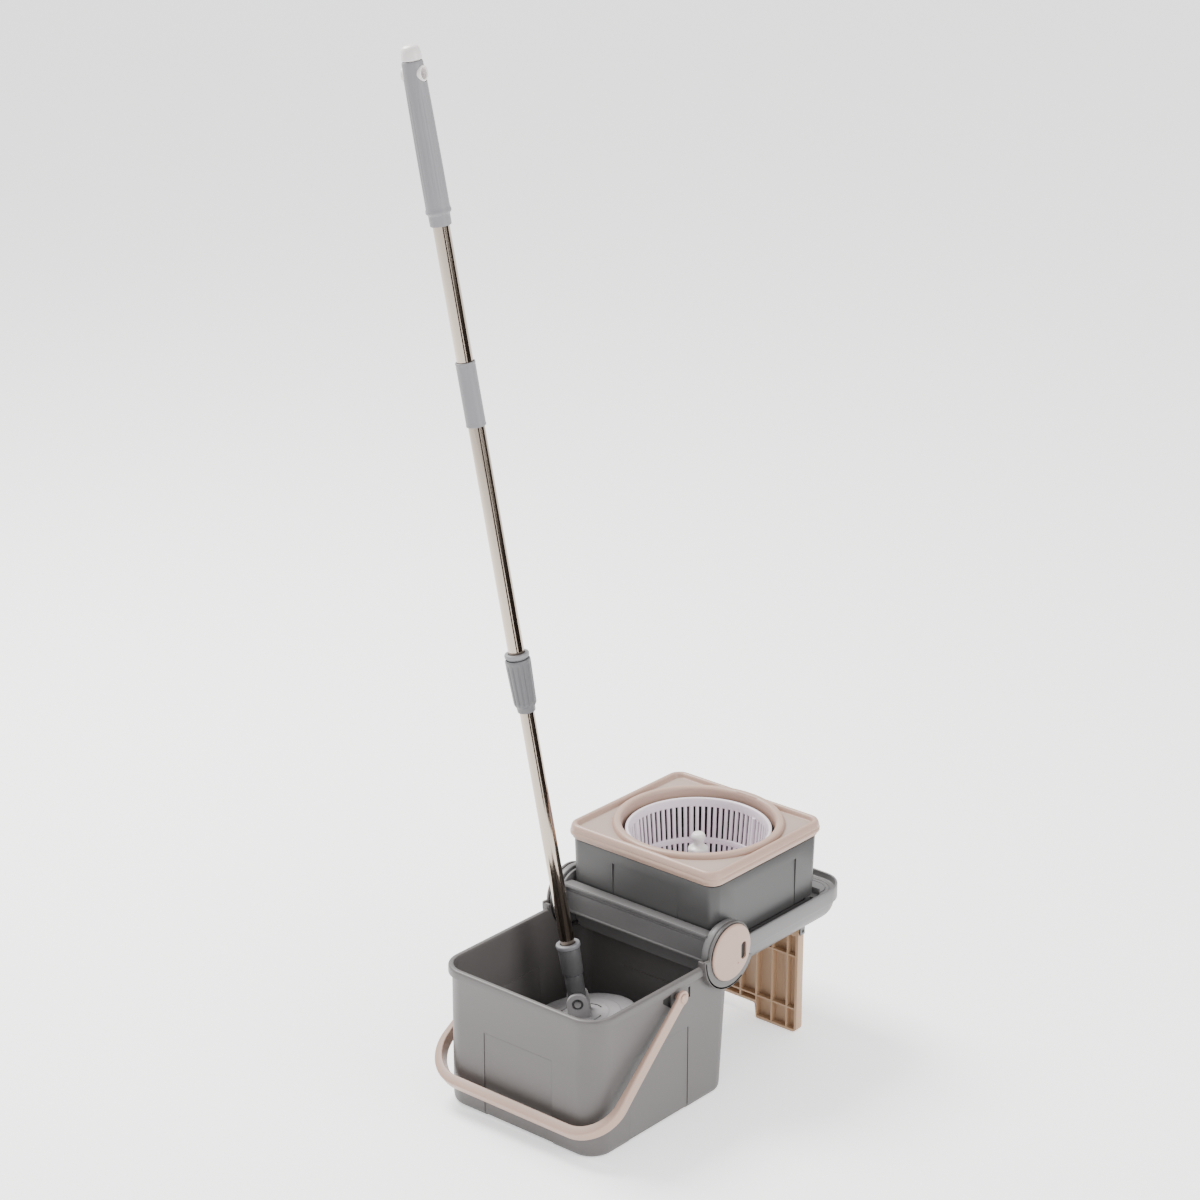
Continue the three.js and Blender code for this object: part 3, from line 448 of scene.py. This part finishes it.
for s, side in ((1, "right"), (-1, "left")):
    pin = along_x(turned(fine([(0, 0), (3.6, 0), (3.9, 0.4), (3.9, 12.5), (6.2, 12.5), (6.2, 13.2), (5, 14.1), (0, 14.4)], 0.4), 48), s, s * 125.9, 159, 170)
    piece("bail_pin_" + side, pin, M_BEIGE, "bucket", ["handle_pin_" + side])

# ---- folding tray ---------------------------------------------------------------------------------------
def tring(z, inset, front=None):
    return ring(132.5 - inset, 246 + min(inset, 3), 511 - inset, 8, max(37 - inset, 6), z)


tp = [(157, 24), (157.5, 19.5), (159.6, 15), (163.4, 11.2), (168, 8), (173, 5.8), (179, 4.2), (183, 3.3), (183.7, 2.8), (184, 0.9), (184.3, 0.3), (185, 0), (198, 0), (203.4, 0), (204.5, 0.4), (205, 1.3), (205, 2.1), (204.5, 2.9), (203, 3.1), (198, 3.4), (196.5, 3.9), (196, 5)]
tray = loft([tring(z, i) for z, i in tp])
tray = cut(tray, loft([ring(112.5, 251, 449, 14, 14, 160, 10), ring(113.5, 250, 450, 14, 14, 212, 10)]), box(-100, 100, 462, 486, 150, 192.5), box(121, 150, 200, 300, 100, 260), box(-150, -121, 200, 300, 100, 260), box(-123, 123, 240, 262, 196, 215), box(114, 120.6, 306, 452, 178, 200), box(-120.6, -114, 306, 452, 178, 200))
beam = bevelled(prism([(240, 184.5), (240, 226.5), (225, 226.5), (225, 221.8), (226.2, 221.2), (232, 220.6), (232, 214.8), (230, 213.8), (230, 188), (228.8, 187), (228.8, 184.5)], -120.3, 120.3), 0.7, 2, 30)
parts = [tray, beam, box(-112, 112, 238, 252, 184.6, 190), box(-121, 121, 246.2, 252, 184.6, 195.9)]
# raised wall behind the box and two low ridges that follow the rim
parts += [bevelled(box(-119, 119, 463, 466, 195, 204.6), 0.8)]
for inset, h in ((10.5, 0.9), (16, 0.9)):
    outer, inner = ring(132.5 - inset, 300, 511 - inset, 5, 37 - inset, 0), ring(132.5 - inset - 1.4, 301.4, 511 - inset - 1.4, 5, 37 - inset - 1.4, 0)
    rr = [[(x, y, z) for x, y, _ in r] for r, z in ((outer, 195.5), (outer, 196 + h * 0.6), ([(a[0] * .7 + b[0] * .3, a[1] * .7 + b[1] * .3, 0) for a, b in zip(outer, inner)], 196 + h), ([(a[0] * .3 + b[0] * .7, a[1] * .3 + b[1] * .7, 0) for a, b in zip(outer, inner)], 196 + h), (inner, 196 + h * 0.6), (inner, 195.5))]
    if inset < 12:
        parts.append(cut(loft(rr, closed=True), box(-200, 200, 200, 468, 150, 250)))
    else:
        parts.append(cut(loft(rr, closed=True), box(-200, 200, 200, 468, 150, 250)))
for s in (1, -1):
    parts.append(along_x(turned(fine([(8.1, 0), (37, 0), (37, 4.8), (8.1, 4.8), (8.1, 0)], 0.8), 128), s, s * 119.5, 253, 199))
    parts.append(along_x(turned(fine([(8.1, 0), (40.8, 0), (40.8, 8.5), (8.1, 8.5), (8.1, 0)], 1.1), 128), s, s * 124.0, 253, 199))
    arm = [(120, 168), (121.5, 165.2), (124.6, 168.2), (127, 173), (128.6, 179), (129.4, 183.2), (131.8, 184), (132.4, 185), (132.5, 203.4), (132, 204.6), (131, 205), (121, 205), (120, 204)]
    arm = [(s * a, b) for a, b in arm]
    if s < 0:
        arm = arm[::-1]
    parts.append(prism(arm, 256, 303, "y"))
    parts.append(bevelled(box(*sorted((s * 110.3, s * 112.6)), 434, 444, 144.5, 160), 0.8))
tray = join(*parts)
piece("tray_shell", tray, M_TRAY, "tray", ["folding_tray"])

# ---- support leg ----------------------------------------------------------------------------------------
def arc(cx, cz, r, a0, a1, n=10):
    return [(cx + r * math.cos(math.radians(a0 + (a1 - a0) * i / n)), cz + r * math.sin(math.radians(a0 + (a1 - a0) * i / n))) for i in range(n + 1)]


out = [(-109.5, 150)] + arc(-101.5, 8, 8, 180, 270) + [(-45, 0)] + arc(-44, 3, 3, 270, 345, 6)[1:] + [(-39, 18.5)] + arc(-35, 17.5, 4.5, 165, 90, 6)[1:] + arc(35, 17.5, 4.5, 90, 15, 6) + [(39, 18.5)] + arc(44, 3, 3, 195, 270, 6) + arc(101.5, 8, 8, 270, 360) + [(109.5, 150)]
leg = prism(out, 433, 445, "y")
cols, rows = [-106.5, -92, -67, -41, -14, 14, 41, 67, 92, 106.5], [3, 34, 112, 143]
cells = []
for c in range(len(cols) - 1):
    for r in range(3):
        inner = max(abs(cols[c]), abs(cols[c + 1])) <= 41
        z0 = 26 if inner and r == 0 else rows[r] + 1.1
        cells.append(bevelled(box(cols[c] + 1.1, cols[c + 1] - 1.1, 430, 442.2, z0, rows[r + 1] - 1.1), 1.0, 2, 50))
leg = cut(leg, join(*cells))
leg = join(bevelled(leg, 0.5, 2, 50), cut(bar_x(6, -109.5, 109.5, 439, 150, 48), bar_x(3.1, -120, 120, 439, 150, 32)))
piece("leg_panel", leg, M_LEG, "leg", ["support_leg"])

# ---- spin box -------------------------------------------------------------------------------------------
def xring(hx, hy, r, z, yc=350):
    return ring(hx, yc - hy, yc + hy, r, r, z, 14)


bx = loft([xring(106, 92, 9, 161), xring(110, 96, 12, 163), xring(111.5, 97.5, 12, 166), xring(111.5, 97.5, 12, 201.2), xring(116.8, 105.3, 12, 201.2), xring(118.0, 106.5, 12.8, 202.0), xring(118.4, 107, 13, 203.4), xring(119.2, 108.5, 13.5, 243), xring(120, 110, 14, 284.6), xring(119.7, 109.7, 13.7, 285.6), xring(119, 109, 13, 286), xring(117.8, 107.8, 12, 286), xring(117.4, 107.4, 11.5, 285), xring(115.2, 103.6, 10.5, 206), xring(108, 94, 9, 204.2), xring(107, 93, 9, 168), xring(103, 89, 6, 164)])
for s in (1, -1):
    bx = cut(bx, box(*sorted((s * 118.0, s * 130)), 289, 411, 190, 268), box(*sorted((s * 117.6, s * 130)), 410.2, 411, 190, 268), box(*sorted((s * 117.6, s * 130)), 289, 289.8, 190, 268), box(*sorted((s * 117.6, s * 130)), 289, 411, 267.2, 268))
bx = cut(bx, box(-49, 60, 230, 242.4, 190, 270), box(-49, -48.2, 230, 242.8, 190, 270), box(59.2, 60, 230, 242.8, 190, 270), box(-49, 60, 230, 242.8, 269.2, 270))
bx = join(bx, cut(bar_z(16, 163, 173, 0, 357, 64), bar_z(6.5, 165.5, 180, 0, 357, 48)))
piece("spin_box_shell", bx, M_BOX, "dryer", ["spinner_box"])

# ---- lid: raised border, pitted corners, raised ring --------------------------------------------------------
def lring(inset, z):
    return ring(125.5 - inset, 233 + inset, 467 - inset, 21 - inset, 21 - inset, z, 20)


outer = [(5.0, 288.2), (3.6, 288.4), (3.4, 289), (3.4, 292.4), (3.0, 292.9), (1.0, 293), (0.3, 293.4), (0, 294.2), (0, 297.6), (0.7, 298.2), (0.9, 298.9), (0.7, 299.6), (1.0, 302), (1.8, 304.6), (3.0, 306.6), (4.8, 307.8), (6.6, 308), (8.4, 307.3), (9.6, 305.9), (10.2, 303.6), (10.7, 301.7), (11.6, 301.2)]
lid = loft([lring(i, z) for i, z in outer])
lid = cut(lid, loft([lring(5.8, 280), lring(5.8, 296), lring(7.0, 299.0)]), xform(turned([(0, 280), (101.6, 280), (101.6, 312), (0, 312)], 160), Matrix.Translation((0, 357, 0))))
ringm = xform(turned(fine([(100.5, 286.5), (103, 286.5), (103, 299.4), (112.4, 299.6), (112.6, 301.4), (112.0, 304.4), (110.4, 307), (107.4, 308), (104.8, 308), (102.6, 307), (101, 304.8), (100.5, 302), (100.5, 286.5)], 0.7), 160), Matrix.Translation((0, 357, 0)))
piece("lid_shell", join(lid, ringm), M_BEIGE, "dryer", ["spinner_lid"], angle=50)
pads = cut(loft([lring(12.2, 300.4), lring(12.2, 301.32)]), xform(turned([(0, 290), (113.6, 290), (113.6, 312), (0, 312)], 160), Matrix.Translation((0, 357, 0))))
piece("lid_corner_pads", pads, M_BEIGE_DOT, "dryer", ["spinner_lid"])

# ---- spin basket: rings joined by upright staves --------------------------------------------------------------
def r_at(z):
    return 84 + 10 * (z - 187) / 109
yc = 357
bands = [
    turned(fine([(0, 187), (82, 187), (84, 189.2), (r_at(206), 206), (r_at(206) - 2.2, 206), (81.6, 191.6), (79.6, 189.6), (0, 189.4)], 0.4), 144),
    turned(fine([(r_at(233) - 2.6, 233), (r_at(233) + 0.2, 233), (r_at(241) + 0.2, 241), (r_at(241) - 3.0, 241), (r_at(233) - 2.6, 233)], 0.5), 144),
    turned(fine([(r_at(284) - 2.4, 284), (r_at(284) + 0.3, 284), (94.0, 291.5), (96, 292), (96, 295.2), (95, 296), (92.2, 296), (91.4, 294.6), (r_at(284) - 2.4, 284)], 0.5), 144),
]
sv, sf = [], []
COUNT = 72
for k in range(COUNT):
    wide = k % 12 == 3
    for z0, z1 in ((205, 234), (240, 285)):
        a = 2 * pi * k / COUNT
        w0, dep = (2.4, 2.6) if not wide else (3.0, 4.6)
        zs = [z0, (z0 + z1) / 2, z1]
        start = len(sv)
        for z in zs:
            r = r_at(z)
            # tapered stave, rounded on its inner face
            for u, t in ((-w0, 0.0), (w0, 0.0), (w0 * 0.92, -dep * 0.7), (w0 * 0.5, -dep), (-w0 * 0.5, -dep), (-w0 * 0.92, -dep * 0.7)):
                x, y = (r + t), u
                sv.append((x * math.cos(a) - y * math.sin(a), x * math.sin(a) + y * math.cos(a), z))
        for m in range(2):
            for i in range(6):
                j = (i + 1) % 6
                sf.append((start + m * 6 + i, start + m * 6 + j, start + (m + 1) * 6 + j, start + (m + 1) * 6 + i))
        sf.append(tuple(start + i for i in range(5, -1, -1))); sf.append(tuple(start + 12 + i for i in range(6)))
staves = mesh_of(sv, sf)
hub = cut(turned(fine([(0, 181), (12, 181), (12, 190), (0, 190)], 0.5), 48), bar_z(3.5, 176, 200, 0, 0, 32))
bands[0] = cut(bands[0], bar_z(3.5, 176, 200, 0, 0, 32))
basket = xform(join(*bands, staves, hub), Matrix.Translation((0, yc, 0)))
piece("basket_cage", basket, M_BASKET, "basket", ["spin_basket"], angle=40)
post = xform(turned(fine([(0, 191.6), (3, 191.6), (3, 191.3), (24, 191.3), (23, 194), (17, 203), (14, 211), (12, 230), (11.5, 247), (12.6, 256), (13.5, 265), (12.5, 267.5), (9, 269), (7, 271), (6.6, 274), (8.2, 277.4), (9.4, 281), (9.2, 284), (7.4, 287), (4, 288.3), (0, 288.5)], 0.6), 64, lambda a, r, z: r * (1 + 0.05 * max(0, math.cos(6 * a)) * (1 if 200 < z < 266 else 0))), Matrix.Translation((0, yc, 0)))
piece("basket_cone", post, M_WHITE, "basket", ["basket_post"])

# ---- mop -------------------------------------------------------------------------------------------------
def mop(name, me, mat, body, nodes, angle=32):
    return piece(name, me, mat, body, nodes, MOP, angle)


plate = turned(fine([(0, -29.5), (73, -29.5), (74.5, -28.6), (74.3, -26.8), (71, -26.0), (70, -25.6), (54, -23.9), (52.5, -22.9), (50.5, -22.7), (39, -21.6), (37.5, -20.7), (35.5, -20.5), (25, -19.6), (0, -19.4)], 0.5), 160)
slots = []
for a0 in (20, 110, 200, 290):
    pts = [(31 * math.cos(math.radians(a)), 31 * math.sin(math.radians(a))) for a in range(a0, a0 + 46, 3)] + [(28.6 * math.cos(math.radians(a)), 28.6 * math.sin(math.radians(a))) for a in range(a0 + 45, a0 - 1, -3)]
    n_ = len(pts)
    v_ = [(x, y, z) for z in (-24, -15) for x, y in pts]
    me_ = mesh_of(v_, [(i, (i + 1) % n_, n_ + (i + 1) % n_, n_ + i) for i in range(n_)] + [tuple(range(n_ - 1, -1, -1)), tuple(range(n_, 2 * n_))])
    slots.append(me_)
plate = cut(plate, join(*slots))
ears = []
for s in (1, -1):
    ear = [(-14.3, -21), (14.3, -21)] + arc(0, 0, 14.3, 0, 180, 32)
    e = bevelled(prism(ear, *sorted((s * 9.5, s * 15.3))), 0.9, 3, 50)
    e = cut(e, bar_x(7.6, *sorted((s * 13.2, s * 18)), 0, 0, 48), bar_x(3.3, *sorted((s * 5, s * 18)), 0, 0, 32))
    ears.append(e)
mop("head_plate", join(plate, *ears), M_YOKE, "mop_head", ["mop_plate"])
# dark annulus in each ear recess around the pin: painted shade
mop("yoke_recess_painted_shade", join(*[along_x(turned([(4.7, 0), (7.3, 0), (7.3, 0.3), (4.7, 0.3), (4.7, 0)], 48), s, s * 13.25, 0, 0) for s in (1, -1)]), M_DARK, "mop_head", ["mop_plate"])
neck = add(turned(fine([(0, 3), (11.6, 4), (12, 8), (12, 38.4), (0, 38.4)], 0.8), 64))
neck = boolean(neck, box(-9.1, 9.1, -20, 20, -1, 15), "INTERSECT")
neck = join(neck, turned(fine([(0, 14.5), (12, 14.5), (12, 38.4), (0, 38.4)], 0.7), 64), along_x(turned(fine([(0, 0), (11, 0), (11, 18.2), (0, 18.2)], 0.8), 64), 1, -9.1, 0, 0), turned([(0, 38), (6, 38), (6, 60), (0, 60)], 32))
mop("neck_blade", neck, M_DARK, "lower_pole", ["mop_neck"])
mop("socket_shell", turned(fine([(6.3, 39), (12.9, 39), (13.6, 39.8), (14.0, 45), (14.4, 60), (14.4, 75.2), (9.8, 75.2), (9.8, 62), (6.3, 62), (6.3, 39)], 0.6), 72), M_DARK, "lower_pole", ["mop_socket"])
mop("socket_band", turned(fine([(9.9, 75.5), (15, 75.5), (15.9, 76.5), (16, 78.6), (16, 80.4), (15.2, 81.8), (13.5, 82), (9.9, 82), (9.9, 75.5)], 0.7), 72), M_LIGHT, "lower_pole", ["socket_ring"])
tube = lambda r, t, a, b: turned(fine([(r - t, a), (r, a), (r, b), (r - t, b), (r - t, a)], 0.15), 72)
mop("tube_lower", tube(9.5, 0.7, 62.4, 559.7), M_STEEL, "lower_pole", ["lower_tube"])
mop("tube_middle", tube(10.5, 0.5, 425.3, 819.8), M_STEEL, "upper_pole", ["mid_tube"])
mop("tube_upper", tube(10.5, 0.5, 820.2, 1198), M_STEEL, "upper_pole", ["upper_tube"])
mop("sleeve", turned(fine([(10.8, 779), (12.1, 779), (12.6, 779.6), (12.6, 781.6), (12.3, 782.4), (12.3, 857.8), (12.6, 858.4), (12.6, 860.4), (12.1, 861), (10.8, 861), (10.8, 779)], 0.3), 72), M_LIGHT, "upper_pole", ["joint_sleeve"])


def flute(count, depth, z0, z1, fade):
    def w(a, r, z):
        k = max(0, min(1, (z - z0) / fade)) * max(0, min(1, (z1 - z) / fade))
        c = 0.5 + 0.5 * math.cos(count * a)
        return r - depth * k * c ** 3 if r > 10.9 and z0 < z < z1 else r
    return w


cp = [(9.9, 403), (11, 403), (11.6, 404), (12, 410), (14.2, 413.4), (14.6, 416)] + [(14.6 + 1.8 * t / 12, 416 + 54 * t / 12) for t in range(1, 12)] + [(16.4, 470), (16.2, 473.2), (15.4, 474), (10.9, 474), (10.9, 425.6), (12.6, 425.2), (12.6, 412.6), (9.9, 412.4), (9.9, 403)]
mop("collar_body", turned(fine(cp, 0.5), 168, flute(14, 1.3, 412, 471, 5)), M_COLLAR, "collar", ["lock_collar"], 50)
mop("collar_band", turned(fine([(10.8, 474.4), (13.6, 474.4), (13.6, 476.6), (15.6, 476.8), (15.8, 477.6), (15.8, 480.6), (14.9, 482), (10.8, 482), (10.8, 474.4)], 0.4), 72), M_LIGHT, "upper_pole", ["lock_ring"])
gp = [(10.8, 1031), (13.0, 1031), (13.3, 1032), (13.4, 1044.6), (14.6, 1046), (15.9, 1047.4), (16, 1049.6), (15.4, 1051.4), (14.9, 1053.6)] + [(14.85 - 0.02 * t * t / 2 * 0.5, 1056 + 11 * t) for t in range(0, 15)] + [(13.2, 1224), (13.0, 1229), (12, 1231), (0, 1231), (0, 1198.4), (10.8, 1198.4), (10.8, 1031)]
gp2 = [p for p in gp if p[0] > 0] 
grip = turned(fine([(0, 1198.4), (10.8, 1198.4), (10.8, 1031)] + gp[1:gp.index((0, 1231)) + 1], 0.6), 168, flute(18, 0.55, 1056, 1200, 16))
bm_ = bmesh.new(); bm_.from_mesh(grip); bmesh.ops.recalc_face_normals(bm_, faces=bm_.faces); bm_.to_mesh(grip); bm_.free()
EYE = math.radians(64)
def across(prof, z):
    return xform(turned(prof, 64), Matrix.Rotation(EYE, 4, "Z") @ Matrix.Translation((0, 0, z)) @ Matrix.Rotation(pi / 2, 4, "Y"))
grip = cut(grip, across([(0, -20), (10.25, -20), (10.25, 20), (0, 20)], 1215))
mop("grip_body", grip, M_LIGHT, "upper_pole", ["grip"], 50)
mop("eye_ring", across(fine([(6.8, -13.8), (9.9, -13.8), (9.9, 13.8), (6.8, 13.8), (6.8, -13.8)], 0.8), 1215), M_WHITE, "upper_pole", ["hang_ring"])
mop("cap_dome", turned(fine([(0, 1231.3), (11.8, 1231.3), (12.5, 1232.6), (12.6, 1234), (12.3, 1240), (11.6, 1244), (9.8, 1247.4), (6.5, 1249.3), (3, 1249.9), (0, 1250)], 0.6), 72), M_WHITE, "upper_pole", ["grip_cap"])

# microfibre pad: a crowned core with strands that hang over its edge
core = turned([(0, -64), (30, -64), (52, -62), (64, -57), (70, -50), (72.5, -42), (71.5, -34), (68, -30.4), (0, -30)], 96)
sv, sf = [], []
for k in range(1150):
    a = random.random() * 2 * pi
    r0 = 10 + 60 * math.sqrt(random.random())
    spread = random.uniform(4, 9)
    droop = random.uniform(14, 34)
    tw = random.uniform(-0.10, 0.10)
    r1 = min(r0 + spread + 6, 78.5)
    pts = []
    for t in (0, 0.25, 0.5, 0.75, 1.0):
        rr2 = r0 + (r1 - r0) * math.sin(t * pi / 2) if r0 > 40 else r0 + spread * t
        zz = (-33 if r0 > 55 else -56) - (droop if r0 > 55 else random.uniform(7, 9.5)) * t ** 1.5
        aa = a + tw * t
        pts.append(Vector((rr2 * math.cos(aa), rr2 * math.sin(aa), max(zz, -65.8))))
    wd = random.uniform(0.9, 1.4)
    st = len(sv)
    for i, p in enumerate(pts):
        t = (pts[min(i + 1, 4)] - pts[max(i - 1, 0)]).normalized()
        u = t.orthogonal().normalized(); w = t.cross(u)
        for j in range(5):
            b = 2 * pi * j / 5
            sv.append(tuple(p + (u * math.cos(b) + w * math.sin(b)) * wd * (1 - 0.35 * (i == 4))))
    for i in range(4):
        for j in range(5):
            jj = (j + 1) % 5
            sf.append((st + i * 5 + j, st + i * 5 + jj, st + (i + 1) * 5 + jj, st + (i + 1) * 5 + j))
    sf.append(tuple(st + 20 + j for j in range(5))); sf.append(tuple(st + j for j in range(4, -1, -1)))
pad = join(core, mesh_of(sv, sf))
pad_o = mop("strand_pad", pad, M_PAD, "mop_head", ["microfibre_pad"], 60)

# ---- floor, light, camera ----------------------------------------------------------------------------------
bpy.ops.mesh.primitive_plane_add(size=60, location=(0, 0, 0))
floor = bpy.context.object
floor.name = "floor"
fm, nt, N, L, b = _nodes("floor_paper")
ns = N.new("ShaderNodeTexNoise"); ns.inputs["Scale"].default_value = 3
rp = N.new("ShaderNodeValToRGB"); rp.color_ramp.elements[0].color = (0.91, 0.91, 0.91, 1); rp.color_ramp.elements[1].color = (0.93, 0.93, 0.93, 1)
L.new(_coord(nt), ns.inputs["Vector"]); L.new(ns.outputs["Fac"], rp.inputs["Fac"]); L.new(rp.outputs["Color"], b.inputs["Base Color"])
b.inputs["Roughness"].default_value = 0.95
b.inputs["Specular IOR Level"].default_value = 0.1
b.inputs["Emission Color"].default_value = (1, 1, 1, 1)
b.inputs["Emission Strength"].default_value = 0.7
floor.data.materials.append(fm)

world = bpy.context.scene.world or bpy.data.worlds.new("w")
bpy.context.scene.world = world
world.use_nodes = True
bg = next(n for n in world.node_tree.nodes if n.type == "BACKGROUND")
bg.inputs["Color"].default_value = (1, 1, 1, 1)
bg.inputs["Strength"].default_value = 1.5


def area(loc, target, size, power, color=(1, 1, 1), size_y=None):
    l = bpy.data.lights.new("area", "AREA")
    l.energy, l.size, l.color = power, size, color
    if size_y:
        l.shape, l.size_y = "RECTANGLE", size_y
    o = bpy.data.objects.new("area", l)
    o.location = loc
    o.rotation_mode = "QUATERNION"
    o.rotation_quaternion = (Vector(target) - Vector(loc)).to_track_quat("-Z", "Y")
    bpy.context.scene.collection.objects.link(o)
    return o


area((-1.7, -0.1, 2.8), (0, 0, 0.2), 1.3, 185, (1, 0.982, 0.96))
area((2.9, 0.3, 1.5), (0, 0, 0.25), 1.6, 72, (1, 0.99, 0.98))

# a dark card beside the camera gives the polished pole its contrast
cv, cf = [], []
for a0, a1 in ((12, 31), (39, 108)):
    k0 = len(cv)
    for i in range(13):
        g = math.radians(-49.45 + a0 + (a1 - a0) * i / 12)
        cv += [(0.75 * math.cos(g), 0.75 * math.sin(g), 0.12), (0.75 * math.cos(g), 0.75 * math.sin(g), 1.75)]
    cf += [(k0 + 2 * i, k0 + 2 * i + 2, k0 + 2 * i + 3, k0 + 2 * i + 1) for i in range(12)]
card = mesh_of(cv, cf, "dark_card")
card_o = bpy.data.objects.new("dark_card", card)
bpy.context.scene.collection.objects.link(card_o)
cm, nt, N, L, b = _nodes("card_black")
b.inputs["Base Color"].default_value = (0.012, 0.009, 0.008, 1); b.inputs["Roughness"].default_value = 1.0; b.inputs["Specular IOR Level"].default_value = 0.0
card.materials.append(cm)
card_o.location = (-0.09, -0.12, 0)
card_o.visible_camera = card_o.visible_diffuse = card_o.visible_shadow = card_o.visible_transmission = False

cam = bpy.data.cameras.new("camera")
cam.lens, cam.sensor_width, cam.sensor_fit = 100.8, 36.0, "HORIZONTAL"
cam.clip_start, cam.clip_end = 0.1, 100
co = bpy.data.objects.new("camera", cam)
bpy.context.scene.collection.objects.link(co)
back = Vector((0.6076, -0.7100, 0.3559)).normalized()
right = Vector((math.cos(math.radians(40.55)), math.sin(math.radians(40.55)), 0))
up = back.cross(right)
M = Matrix((right, up, back)).transposed().to_4x4()
M.translation = (Vector((2498.5, -2760.7, 2133.7)) + OFF) / 1000
co.matrix_world = M
bpy.context.scene.camera = co
